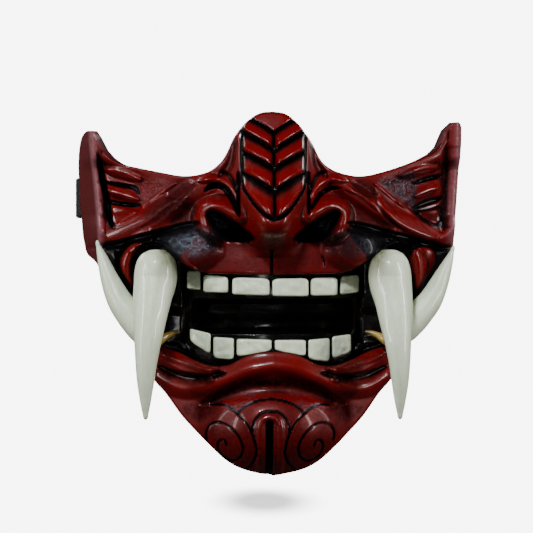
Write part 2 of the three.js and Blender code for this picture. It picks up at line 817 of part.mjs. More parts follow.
function buildMask() {
  const mask = new THREE.Group();
  addMesh(mask, 'mask_shell', shellGeometry(), 'lacquer');
  addMesh(mask, 'mouth_pocket', pocketGeometry(), 'black');
  UPPER_TEETH.forEach((row, index) => {
    addMesh(mask, `upper_tooth_${index + 1}`, toothGeometry(row, ARCH.upper), 'ivory');
  });
  LOWER_TEETH.forEach((row, index) => {
    addMesh(mask, `lower_tooth_${index + 1}`, toothGeometry(row, ARCH.lower), 'ivory');
  });
  addMesh(mask, 'head_strap', strapGeometry(), 'elastic');
  for (const [side, sign] of [['left', -1], ['right', 1]]) {
    addMesh(mask, `upper_fang_${side}`, fangGeometry(sign), 'ivory');
    addMesh(mask, `lower_tusk_${side}`, tuskGeometry(sign), 'ivory');
    const plate = new THREE.BoxGeometry(ANCHOR.thick, ANCHOR.long, ANCHOR.high);
    placeAnchor(addMesh(mask, `strap_anchor_${side}`, plate, 'plate'), side, sign);
  }
  mask.position.set(0, innerDepth(SEAT.x, SEAT.z), -SEAT.z);
  return mask;
}

const part = new THREE.Group();
part.add(buildMask());

export default part;
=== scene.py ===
"""The look of an oni half mask: lacquered shell, mouth insert, teeth, fangs, tusks and head strap.

Shapes are worked out in millimetres as x (to the viewer's right), depth (forwards, 0 at the rear
edges of the side walls) and z (up, 0 at the middle of the open mouth), and are put into the row's
frame when a mesh is built.
"""

import sys

import logging
import math
from dataclasses import dataclass, field
from enum import Enum

import bpy
import numpy as np
from mathutils import Euler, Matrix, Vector

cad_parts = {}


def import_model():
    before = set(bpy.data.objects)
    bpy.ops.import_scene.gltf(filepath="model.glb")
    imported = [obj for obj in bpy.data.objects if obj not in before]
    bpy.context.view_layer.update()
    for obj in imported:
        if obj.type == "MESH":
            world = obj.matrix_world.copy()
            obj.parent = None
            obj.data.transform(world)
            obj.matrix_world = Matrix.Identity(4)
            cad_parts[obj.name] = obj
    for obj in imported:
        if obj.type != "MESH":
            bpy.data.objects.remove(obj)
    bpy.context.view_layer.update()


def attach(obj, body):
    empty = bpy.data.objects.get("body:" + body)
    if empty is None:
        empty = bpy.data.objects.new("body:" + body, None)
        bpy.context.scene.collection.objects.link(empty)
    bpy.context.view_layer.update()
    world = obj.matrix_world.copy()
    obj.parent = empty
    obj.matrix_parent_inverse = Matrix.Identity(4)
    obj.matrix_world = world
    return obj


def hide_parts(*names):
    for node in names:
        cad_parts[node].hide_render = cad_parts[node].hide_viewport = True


LOG = logging.getLogger("oni_mask")

Array = np.ndarray
Points = tuple[tuple[float, float], ...]
Colour = tuple[float, float, float]
Feed = bpy.types.NodeSocket | float | Colour

# The nose saddle in the mask's own measure, which is the origin of the row's frame
MM = 0.001
SEAT_DEPTH = 79.269
SEAT_Z = 78.0

# Plan of the shell
RIDGE_COLUMN = 88.0
WALL_LENGTH = 48.0
MOUTH_COLUMN = 68.0
STRETCH_START = 68.0
CORNER = 4.0
WALL = 4.0
THINNEST = 2.4
EDGE_RADIUS = 1.5
LIP_REACH = 8.0
SEAM_SHARE = 0.28
GAP = 0.35
SLOPE_STEP = 0.25
TINY = 0.01


class Side(Enum):
    """The half of the face that a line or a patch lies on, as the viewer sees it."""

    LEFT = -1
    BOTH = 0
    RIGHT = 1


# Numbers and curves


def table(names: tuple[str, ...], rows: tuple[tuple[float, ...], ...]) -> dict[str, Array]:
    """Turns rows of numbers into named columns.

    Args:
        names: One name for each column.
        rows: The rows.

    Returns:
        The columns by name.
    """
    return dict(zip(names, np.array(rows, float).T))


def clamp(value: Array, low: float, high: float) -> Array:
    """Keeps values between two limits."""
    return np.minimum(np.maximum(value, low), high)


def smooth(value: Array) -> Array:
    """A soft step: 3 t squared less 2 t cubed, level outside 0 to 1."""
    t = clamp(value, 0.0, 1.0)
    return t * t * (3 - 2 * t)


def mix(a: Array, b: Array, share: Array) -> Array:
    """Goes from a to b as the share goes from 0 to 1."""
    return a + (b - a) * share


def roll(distance: Array) -> Array:
    """A roll of height 1: (1 - distance squared) squared, level from distance 1 on."""
    t = 1 - np.minimum(distance * distance, 1.0)
    return t * t


def sign_of(value: Array) -> Array:
    """-1 for negative values and 1 for all others."""
    return np.where(value < 0, -1.0, 1.0)


def side_name(sign: int) -> str:
    """The name of the half of the face that a sign stands for, as the viewer sees it."""
    return "left" if sign < 0 else "right"


def unit(vectors: Array) -> Array:
    """The vectors of the last axis, each divided by its length."""
    return vectors / np.linalg.norm(vectors, axis=-1, keepdims=True)


def mirrored(columns: Array) -> Array:
    """Columns that rise from 0, with the same ones left of 0 before them."""
    return np.concatenate([-columns[:0:-1], columns])


def around(sides: int) -> Array:
    """Even angles of one turn."""
    return np.linspace(0, 2 * math.pi, sides, endpoint=False)


def rounded(angle: Array, power: Array) -> tuple[Array, Array]:
    """The curve |u| to a power + |v| to a power = 1 at angles: the higher the squarer."""
    u, v = (np.sign(wave) * np.abs(wave) ** (2 / power) for wave in (np.cos(angle), np.sin(angle)))
    return u, v


class Curve:
    """A smooth function through the rows of a table, level past its ends.

    Between two rows it is a cubic that leaves and arrives with the slope of the rows around.
    """

    def __init__(self, at: Array, value: Array) -> None:
        """Keeps the rows and works out the slopes.

        Args:
            at: Rising places.
            value: The value at each place.
        """
        self.at = np.asarray(at, float)
        self.value = np.asarray(value, float)
        index = np.arange(len(self.at))
        before = np.maximum(index - 1, 0)
        after = np.minimum(index + 1, len(self.at) - 1)
        self.slope = (self.value[after] - self.value[before]) / (self.at[after] - self.at[before])

    def __call__(self, place: Array) -> Array:
        """The values at some places."""
        v = clamp(np.asarray(place, float), self.at[0], self.at[-1])
        i = np.clip(np.searchsorted(self.at, v, side="right") - 1, 0, len(self.at) - 2)
        span = self.at[i + 1] - self.at[i]
        t = (v - self.at[i]) / span
        leave = t * (1 - t) ** 2 * span * self.slope[i]
        arrive = t * t * (t - 1) * span * self.slope[i + 1]
        return mix(self.value[i], self.value[i + 1], smooth(t)) + leave + arrive

    def steepness(self, place: Array) -> Array:
        """The slope at some places, taken over a small step each way."""
        return (self(place + SLOPE_STEP) - self(place - SLOPE_STEP)) / (2 * SLOPE_STEP)


def curve(rows: dict[str, Array], key: str, name: str) -> Curve:
    """The smooth function of one column of a table over another."""
    return Curve(rows[key], rows[name])


def spaced(*stretches: tuple[float, float, int]) -> Array:
    """Rising numbers over joined stretches.

    Args:
        *stretches: From, to and the count of steps of each stretch.

    Returns:
        All the numbers, each end once.
    """
    parts = [np.linspace(low, high, count + 1)[1:] for low, high, count in stretches]
    return np.concatenate([[stretches[0][0]], *parts])


def smooth_path(points: Points, closed: bool = False, cuts: int = 6) -> Array:
    """A path through points of the front view, cut into short straight stretches.

    Args:
        points: Corners as (x, z).
        closed: Whether the path comes back to its start.
        cuts: Stretches between two corners.

    Returns:
        The cut points, one row each.
    """
    corners = np.array(points, float)
    count = len(corners)
    if closed:
        corners = np.concatenate([corners[-2:], corners, corners[:3]])
    index = np.arange(len(corners), dtype=float)
    first = 2 if closed else 0
    last = first + (count if closed else count - 1)
    place = np.linspace(first, last, (last - first) * cuts + 1)
    return np.stack([Curve(index, corners[:, axis])(place) for axis in (0, 1)], axis=1)


def path_distance(path: Array, x: Array, z: Array) -> tuple[Array, Array]:
    """How far points of the front view are from a path.

    Each stretch of the path gives the distance to its nearest point, and the least counts.

    Args:
        path: The path's points, one row each.
        x: The places' x.
        z: The places' z.

    Returns:
        The distance, and how far along the path the nearest point is, from 0 to 1.
    """
    start, run = path[:-1], np.diff(path, axis=0)
    length = np.maximum((run**2).sum(axis=1), 1e-9)
    dx = x[:, None] - start[:, 0]
    dz = z[:, None] - start[:, 1]
    share = clamp((dx * run[:, 0] + dz * run[:, 1]) / length, 0.0, 1.0)
    distance = np.hypot(dx - share * run[:, 0], dz - share * run[:, 1])
    nearest = distance.argmin(axis=1)
    row = np.arange(len(x))
    return distance[row, nearest], (nearest + share[row, nearest]) / len(run)


def inside_loop(path: Array, x: Array, z: Array) -> Array:
    """Whether points lie inside a closed path, from how often a line to the right crosses it."""
    start, end = path[:-1], path[1:]
    crosses = (start[:, 1] > z[:, None]) != (end[:, 1] > z[:, None])
    rise = np.where(end[:, 1] == start[:, 1], 1e-9, end[:, 1] - start[:, 1])
    meet = start[:, 0] + (z[:, None] - start[:, 1]) * (end[:, 0] - start[:, 0]) / rise
    return (crosses & (x[:, None] < meet)).sum(axis=1) % 2 == 1


def unevenness(places: tuple[Array, ...], seed: int, wave: float, height: float) -> Array:
    """The slight unevenness of hand work: eight sine waves in seeded directions, averaged.

    Args:
        places: The places' coordinates, an array each, all of one shape.
        seed: Picks the directions and phases.
        wave: The mean wave length.
        height: The greatest height, in the same unit.

    Returns:
        The height at each place, in the places' shape.
    """
    count = 8
    draw = np.random.default_rng(seed)
    run = unit(draw.normal(size=(count, len(places))))
    lengths = wave * draw.uniform(0.6, 1.6, count)
    phase = draw.uniform(0, 2 * math.pi, count)
    waves = np.sin(np.stack(places, axis=-1) @ run.T * (2 * math.pi / lengths) + phase)
    return height * waves.mean(axis=-1)


# The plain form of the shell, which the solids share

TOP_EDGE = table(("at", "left", "right"), (
    (0, 94, 94),
    (6, 93.4, 92.9),
    (11, 90.8, 89.2),
    (16, 86, 83.2),
    (20, 80.4, 77.6),
    (23, 73.8, 71.4),
    (26.5, 68.6, 67.4),
    (33, 64, 64),
    (44, 62.2, 62.2),
    (57, 64.4, 65),
    (70, 67.2, 69.6),
    (75.5, 68.6, 72.2),
    (80.5, 71.6, 76),
    (82.8, 74, 81.6),
    (83.8, 75.4, 85.6),
    (84.8, 77.4, 88.2),
    (86, 80.6, 89.9),
    (87.2, 84, 90.5),
    (88, 85, 90.3),
    (90, 85.8, 88.6),
    (92, 86.1, 86),
    (95, 86.3, 84.4),
    (103, 86.2, 84.6),
    (114, 85.2, 85),
    (122, 83.2, 83.6),
    (129, 79.4, 81),
    (133, 75.6, 78),
    (136, 70, 74),
))
BOTTOM_EDGE = table(("at", "z"), (
    (0, -87.4),
    (14.5, -84.3),
    (23, -80),
    (31.3, -72.5),
    (38.5, -65.2),
    (45.5, -57.8),
    (54, -46.5),
    (59, -41),
    (64, -34),
    (69, -24),
    (73.6, -12),
    (77.8, 0),
    (82, 9),
    (85, 13),
    (88, 14.5),
    (93, 16),
    (103, 19),
    (118, 21.5),
    (128, 23.4),
    (133, 26.4),
    (136, 33),
))
MOUTH_EDGE = table(("at", "top", "bottom"), (
    (0, 12.7, -25.3),
    (8, 12.8, -26),
    (15, 12.9, -28.3),
    (21, 13, -31.5),
    (27, 13.2, -32.6),
    (33, 13.5, -31.9),
    (40, 15.5, -29.4),
    (45, 18.5, -27),
    (50, 22, -25),
    (55, 25.3, -23.5),
    (60, 26.8, -21),
    (63.5, 24.5, -17),
    (66, 18, -11),
    (67.5, 9, -5),
    (68, 0, 0),
))
BASE = table(("z", "middle", "fall"), (
    (-87, 72, 30),
    (-65, 80, 28),
    (-40, 78, 22),
    (-10, 78, 20),
    (10, 80, 16),
    (30, 77, 13),
    (60, 72, 12),
    (92, 70, 10),
))
FALL_REACH = 60.0
FALL_POWER = 2.1
RIDGE_X = table(("z", "left", "right"), (
    (14, 86.6, 91.6),
    (30, 87.2, 92.9),
    (50, 89.3, 95.1),
    (80, 92.4, 97.2),
))
REAR_X = table(("z", "left", "right"), (
    (20, 97, 96),
    (40, 98.9, 97.6),
    (64, 100.5, 99.2),
    (84, 101.2, 100),
))
RIDGE_BEAD_RISE = 6.5
RIDGE_BEAD_FOOT = 28.0
RIDGE_BEAD_FULL = 36.0
NOSE = table(("z", "rise", "half"), (
    (21, 0, 8),
    (25, 5, 9),
    (29, 14, 10),
    (33, 23, 12),
    (38, 27.5, 14),
    (44, 27, 15.5),
    (52, 24, 17),
    (64, 19, 18),
    (76, 14, 18.5),
    (88, 8, 17),
    (96, 3, 15),
))
FAN_EDGES = table(("x", "low", "high"), (
    (49, 60, 61),
    (53, 53.5, 62),
    (60, 46, 64),
    (71, 40, 67.5),
    (85, 37, 73),
))
FAN_APEX = 49.0
FAN_FULL = 76.0
FAN_DEPTH = 5.0
FAN_SOFT = 7.0


@dataclass(frozen=True)
class Dome:
    """A raised round form on both halves of the face, or a hollow if its rise is negative."""

    x: float
    z: float
    wide: float
    high: float
    rise: float

    def height(self, side: Array, z: Array) -> Array:
        """Height at distances from the middle and z: a roll over the squared share of the way."""
        along, across = (side - self.x) / self.wide, (z - self.z) / self.high
        return self.rise * roll(along**2 + across**2)


CHIN_BOSS = Dome(0, -66, 30, 22, 7)
NOSTRIL_BACK = Dome(22.5, 36.5, 19, 16, 7)


class TwoSided:
    """A smooth function for each half of the face, from the columns left and right of a table."""

    def __init__(self, rows: dict[str, Array], key: str) -> None:
        """Makes both functions over the table's key column."""
        self.left, self.right = curve(rows, key, "left"), curve(rows, key, "right")

    def __call__(self, column: Array, place: Array) -> Array:
        """The values at some places beside signed columns."""
        return np.where(column < 0, self.left(place), self.right(place))


class Form:
    """The plain form of the face: a vault with the nose, the chin and the fans at the sides."""

    def __init__(self) -> None:
        """Makes the smooth functions of the tables."""
        self.top = TwoSided(TOP_EDGE, "at")
        self.ridge_x = TwoSided(RIDGE_X, "z")
        self.rear_x = TwoSided(REAR_X, "z")
        self.bottom = curve(BOTTOM_EDGE, "at", "z")
        self.mouth_top = curve(MOUTH_EDGE, "at", "top")
        self.mouth_bottom = curve(MOUTH_EDGE, "at", "bottom")
        self.middle = curve(BASE, "z", "middle")
        self.fall = curve(BASE, "z", "fall")
        self.nose_rise = curve(NOSE, "z", "rise")
        self.nose_half = curve(NOSE, "z", "half")
        self.fan_low = curve(FAN_EDGES, "x", "low")
        self.fan_high = curve(FAN_EDGES, "x", "high")

    def crown(self, column: Array) -> Array:
        """Height of the top edge at signed columns."""
        return self.top(column, np.abs(column))

    def column_x(self, column: Array, z: Array) -> Array:
        """The x of signed columns, spread past the mouth until they meet the ridge."""
        side = np.abs(column)
        share = clamp((side - STRETCH_START) / (RIDGE_COLUMN - STRETCH_START), 0.0, 1.0)
        reach = side + (self.ridge_x(column, z) - RIDGE_COLUMN) * share**2
        return sign_of(column) * reach

    def fan_recess(self, side: Array, z: Array) -> Array:
        """Depth of the sunk fan between its low and high edge, full towards the ridge."""
        low = smooth((z - self.fan_low(side)) / FAN_SOFT)
        high = smooth((self.fan_high(side) - z) / FAN_SOFT)
        return FAN_DEPTH * low * high * smooth((side - FAN_APEX) / (FAN_FULL - FAN_APEX))

    def depth(self, x: Array, z: Array) -> Array:
        """Depth of the plain form.

        It is a vault whose fall goes as a power of x, the nose as rise * exp(-(x / half) cubed)
        and the boss of the chin, less the sunk fans.
        """
        side = np.abs(x)
        base = self.middle(z) - self.fall(z) * (side / FALL_REACH) ** FALL_POWER
        nose = self.nose_rise(z) * np.exp(-((side / self.nose_half(z)) ** 3))
        return base + nose + CHIN_BOSS.height(side, z) - self.fan_recess(side, z)


FORM = Form()


# Lines and patches of the carved relief

TAPERED_WIDTH = 0.3


def near_path(path: Array, margin: float, x: Array, z: Array, side: Side) -> Array:
    """Which places lie near a path.

    Args:
        path: The path's points, one row each, on the right half.
        margin: How far round the path's box counts.
        x: The places' x, off the line that the path is mirrored in.
        z: The places' z.
        side: The half of the face that counts.

    Returns:
        Whether each place is near.
    """
    low, high = path.min(axis=0) - margin, path.max(axis=0) + margin
    across = np.abs(x)
    near = (across > low[0]) & (across < high[0]) & (z > low[1]) & (z < high[1])
    return near if side is Side.BOTH else near & (x * side.value > 0)


@dataclass(frozen=True)
class Stroke:
    """A ridge or a groove along a smooth path of the front view; its name says which.

    Its cut is a roll of half width reach and height rise, narrower towards its ends by taper. Ink
    is how black it is painted, with black paint on some strokes and painted shade on others, over a
    width greater by spread with a border more or less crisp, and rub is how bright the red on it is
    worn.
    """

    name: str
    reach: float
    rise: float
    points: Points
    ink: float = 0.0
    rub: float = 0.0
    side: Side = Side.BOTH
    centre: float = 0.0
    taper: float = 0.0
    spread: float = 1.2
    crisp: float = 1.8

    def place(self, x: Array, z: Array) -> tuple[Array, Array]:
        """The relief and the paint share of the stroke.

        Args:
            x: The places' x.
            z: The places' z.

        Returns:
            The roll's share from 0 to 1, and the same over a width greater by spread.
        """
        path = smooth_path(self.points)
        x = x - self.centre
        near = near_path(path, self.reach * self.spread, x, z, self.side)
        share, wide = np.zeros(x.shape), np.zeros(x.shape)
        distance, along = path_distance(path, np.abs(x[near]), z[near])
        end = clamp(np.minimum(along, 1 - along) / max(self.taper, 1e-6), 0.0, 1.0)
        narrow = mix(TAPERED_WIDTH, 1.0, np.sqrt(end))
        width = self.reach * narrow if self.taper else self.reach
        share[near] = roll(distance / width)
        wide[near] = roll(distance / (width * self.spread))
        return share, wide


@dataclass(frozen=True)
class Patch:
    """An area inside a closed smooth path, with a soft border; its name says which.

    Ink is how black it is painted, with black paint on some patches and painted shade on others,
    bare how much of the black is kept off it, and speckle how speckled the black is.
    """

    name: str
    soft: float
    points: Points
    rise: float = 0.0
    ink: float = 0.0
    bare: float = 0.0
    speckle: float = 0.0
    side: Side = Side.BOTH

    def share(self, x: Array, z: Array) -> Array:
        """How far places are inside: 0 outside, a half on the path and 1 within."""
        path = smooth_path(self.points, closed=True)
        near = near_path(path, self.soft, x, z, self.side)
        across, high = np.abs(x[near]), z[near]
        distance, _ = path_distance(path, across, high)
        inward = np.where(inside_loop(path, across, high), distance, -distance)
        share = np.zeros(x.shape)
        share[near] = smooth(0.5 + inward / self.soft)
        return share


DOMES = (
    Dome(27, 41, 14, 12.5, 12),
    Dome(41, 26, 18, 13, 7),
)

STROKES = (
    # broad folds, which the solids have too
    Stroke("right cheek band", 6, 4, ((34, 57.5), (46, 50), (58, 42.5), (72, 36), (86, 31.5)),
           side=Side.RIGHT),
    Stroke("left cheek band", 8, 3, ((34, 57.5), (46, 50), (58, 42.5), (72, 36), (86, 31.5)),
           side=Side.LEFT),
    Stroke("middle rib of the fan", 5, 2, ((66, 50.5), (75, 54), (84, 57))),
    Stroke("fold beside the fang", 5, 3.5,
           ((62, 32), (69.5, 28), (74, 20), (74.5, 10), (73, 0))),
    Stroke("corner of the lower lip", 5, 4, ((32, -37), (42, -35.5), (50, -32), (55, -29))),
    Stroke("lower lip", 6, 3.5,
           ((0, -32), (12, -34), (24, -39), (36, -43.5), (48, -43), (58, -38)), rub=0.4),
    Stroke("valley under the lip", 6, -2.5,
           ((-14, -45), (0, -44), (10, -44.5), (20, -47), (30, -51)), taper=0.6),
    # nose and its wings
    Stroke("rim of the wing", 3.8, 2.8,
           ((16.5, 40), (20, 43.6), (25, 47), (31, 48.4), (36, 46.4), (37.6, 42), (36, 37),
            (32.2, 32), (28, 29.8)), rub=0.5),
    Stroke("upper fold", 3.0, 2.6, ((37, 59.5), (30, 60.6), (25, 59), (20.8, 54), (18.6, 47)),
           rub=0.4, taper=0.2),
    Stroke("nose line one left", 1.9, -2.6,
           ((34, 54.6), (30.6, 56.8), (27, 57.2), (23.6, 55.4), (20.6, 50.6), (18.2, 45.4),
            (17, 41.6)), ink=1, side=Side.LEFT, taper=0.15),
    Stroke("nose line one right", 1.5, -2.0,
           ((33.6, 56), (28.6, 55.8), (24.4, 53.4), (21, 49.6), (18.4, 45)),
           ink=0.9, side=Side.RIGHT, taper=0.25),
    Stroke("nose line two", 1.2, -2.0, ((17.6, 64), (17.4, 57), (17.4, 49), (17, 42.5)),
           ink=1, taper=0.2),
    Stroke("nose line three", 1.3, -1.6, ((26.4, 64.4), (22.4, 62.6), (19.4, 58), (18, 53)),
           ink=0.8, taper=0.3),
    Stroke("inner rim of the nostril", 1.2, 1.2, ((18, 35.2), (14.6, 31.6), (10.6, 27.8)),
           rub=1, taper=0.25),
    Stroke("flank of the nose", 3.0, -1.6, ((19.8, 82), (20, 75), (22, 67), (27, 61.5)),
           ink=0.5, taper=0.2, crisp=1.2),
    # cheeks
    Stroke("edge of the right band", 3.0, 1.8,
           ((51, 56.5), (53.4, 51), (57, 45), (63, 38.8), (72, 34), (83, 30.8)),
           rub=0.6, taper=0.2, side=Side.RIGHT),
    Stroke("crease of the right band", 1.6, -0.8,
           ((51, 53), (53.4, 46.5), (58, 40.6), (65, 35.4)), ink=0.45, taper=0.4,
           crisp=1.2, side=Side.RIGHT),
    Stroke("crease of the right cheek", 1.7, -0.7, ((36, 54.6), (42, 51.8), (47, 48.4),
                                                    (52, 44.2)),
           ink=0.4, taper=0.4, crisp=1.2, side=Side.RIGHT),
    Stroke("crease of the left cheek", 2.4, -0.5,
           ((43.6, 52), (49, 47.4), (54.6, 43.1), (58.9, 39.4), (66, 36)), ink=0.3, taper=0.4,
           crisp=1.0, side=Side.LEFT),
    Stroke("crease under the cheek", 2.5, -3.2,
           ((37, 38.5), (46, 36.4), (56, 34), (66, 31.4), (76, 28.6), (90, 26)), ink=1,
           taper=0.1),
    # The dark in these hollows beside the wings is painted shade
    Stroke("hollow beside the left wing", 6.5, -1.6, ((42.5, 46), (44, 42), (47, 39.5)),
           ink=0.6, crisp=1.0, side=Side.LEFT),
    Stroke("hollow beside the right wing", 6.0, -0.8, ((41, 43), (46, 39.6), (56, 36)),
           ink=0.5, crisp=1.0, side=Side.RIGHT),
    Stroke("hollow of the cheek", 7.0, -0.8, ((40, 58), (47, 55), (52, 52)), ink=0.5,
           taper=0.3, crisp=1.0),
    # fan, whose fingers differ from side to side
    Stroke("lower edge of the left fan", 1.3, 0.7,
           ((48.6, 58.4), (57, 53.2), (64.6, 47.6), (67.4, 43.4), (73, 40), (79.4, 37)),
           rub=0.5, taper=0.1, side=Side.LEFT),
    Stroke("lower edge of the right fan", 1.4, 1.2,
           ((51, 58.6), (60, 51.6), (68, 46), (74, 41.4), (80, 37), (87, 34.4)),
           rub=0.4, taper=0.1, side=Side.RIGHT),
    Stroke("first left finger", 3.4, 3.2, ((84.5, 66.4), (76, 64), (66.4, 60.6)), rub=0.5,
           taper=0.3, side=Side.LEFT),
    Stroke("second left finger", 3.1, 2.8, ((83.5, 55.4), (76, 53.6), (67.4, 50.6)), rub=0.5,
           taper=0.25, side=Side.LEFT),
    Stroke("first left groove", 1.5, -2.6,
           ((85.4, 59.8), (76, 58), (69.6, 56.6), (67, 53.6)), ink=1, taper=0.25,
           side=Side.LEFT),
    Stroke("second left groove", 1.5, -2.6, ((84.6, 50.2), (75, 48.4), (66.4, 47.6)), ink=1,
           taper=0.25, side=Side.LEFT),
    Stroke("groove beside the left ridge", 2.2, -2.6,
           ((88.6, 75), (87.6, 67), (86, 60), (84.4, 54), (83, 46), (80.4, 37)), ink=0.95,
           taper=0.2, side=Side.LEFT),
    Stroke("first right finger", 3.2, 3.2, ((84.6, 67.6), (76, 65.6), (65, 62.6)), rub=0.5,
           taper=0.35, side=Side.RIGHT),
    Stroke("second right finger", 3.1, 2.8, ((84.6, 57), (79, 55.6), (72, 52.4)), rub=0.5,
           taper=0.25, side=Side.RIGHT),
    Stroke("first right groove", 1.6, -2.6, ((86.4, 63.2), (80, 61.8), (71.4, 59)), ink=1,
           taper=0.35, side=Side.RIGHT),
    Stroke("second right groove", 2.1, -2.8, ((86.4, 51.6), (80.4, 50), (71.8, 46.8)), ink=1,
           taper=0.35, side=Side.RIGHT),
    Stroke("groove beside the right ridge", 3.4, -2.2,
           ((89, 78), (89, 68), (88.8, 58), (88.4, 47), (87.4, 37)), ink=0.7, taper=0.2,
           crisp=1.0, side=Side.RIGHT),
    # upper lip
    Stroke("roll over the left fang", 1.1, 1.5,
           ((37.6, 15.4), (42, 17.8), (48.3, 24), (53.8, 28), (60, 29.4), (66.4, 28), (72, 23.8)),
           rub=0.7, taper=0.12, side=Side.LEFT),
    Stroke("roll over the right fang", 1.7, 2.2,
           ((46, 17.6), (52, 22.4), (56.4, 26.8), (64, 29), (73, 26.8), (77, 23)),
           rub=0.4, taper=0.15, side=Side.RIGHT),
    Stroke("philtrum", 0.9, -1.6, ((0, 24.5), (0, 13)), ink=1, centre=-1),
    Stroke("crack in the lip", 0.6, -0.8, ((24.2, 22.5), (25.2, 19), (25, 16.5)),
           ink=0.8, side=Side.RIGHT, taper=0.4),
    # lower lip
    Stroke("lobe of the lower lip", 3.2, 2.4,
           ((57, -26), (50, -28.4), (43, -30.8), (35, -33), (27, -34.2)), rub=0.6,
           ink=0.36, spread=1.4, taper=0.2, crisp=0.9),
    # The black under the lobe is partly black paint and partly painted shade under the lobe
    Stroke("crease under the lobe", 3.0, -1.6,
           ((57, -33.5), (50, -36.4), (42, -38), (33, -38), (24, -36)),
           ink=0.8, taper=0.75, spread=1.9, crisp=0.9),
    # The dark in the valley of the chin is painted shade
    Stroke("valley of the chin", 4.4, -0.8,
           ((-14, -42), (0, -40.4), (10, -41), (19, -43.6), (28, -48), (36, -51.5)),
           ink=0.62, spread=1.5, taper=0.35, crisp=1.0),
    Stroke("shade beside the chin", 8.0, 0, ((26, -50), (36, -55), (44, -54)),
           ink=0.45, taper=0.4, crisp=1.0),
    # chin
    Stroke("outer arc", 0.8, -0.5,
           ((30, -52), (24, -51.6), (19, -53.6), (15, -57), (11.5, -61), (9, -66), (7.4, -71.5),
            (7.1, -76), (8.8, -80.3), (12.4, -84.4)), ink=1, centre=-1.5, taper=0.14),
    Stroke("joining arc", 0.75, -0.5,
           ((0, -48.7), (4, -49), (8.5, -50.1), (12.5, -52), (16.4, -55.4)),
           ink=1, centre=-1.5),
    Stroke("keyhole arch", 0.8, -0.5,
           ((0, -54.4), (4, -55), (6.8, -57.4), (8.5, -60.6), (9.1, -64.8)),
           ink=1, centre=-1.5),
    Stroke("spiral", 0.75, -0.5,
           ((31.5, -70), (31.8, -66), (30, -62.2), (26.2, -60.4), (22, -61.4), (18, -64.4),
            (15, -68.4), (13.6, -73), (14.6, -77), (17.6, -79.4), (21.4, -79), (24.4, -76.6),
            (26, -73.4), (25.8, -70.4), (24, -69), (22.2, -69.8), (21.6, -72.4)),
           ink=1, centre=-1.5, taper=0.03),
    Stroke("rim of the slot", 2.6, 1.3,
           ((0, -57), (3.2, -58), (4.9, -61), (5.2, -67), (5.2, -76), (5.2, -88)),
           rub=0.5, centre=-1.8),
    Stroke("slot", 2.5, -4.2, ((0, -60.6), (0, -70), (0, -90)), ink=1, centre=-2.1, spread=1.05),
)

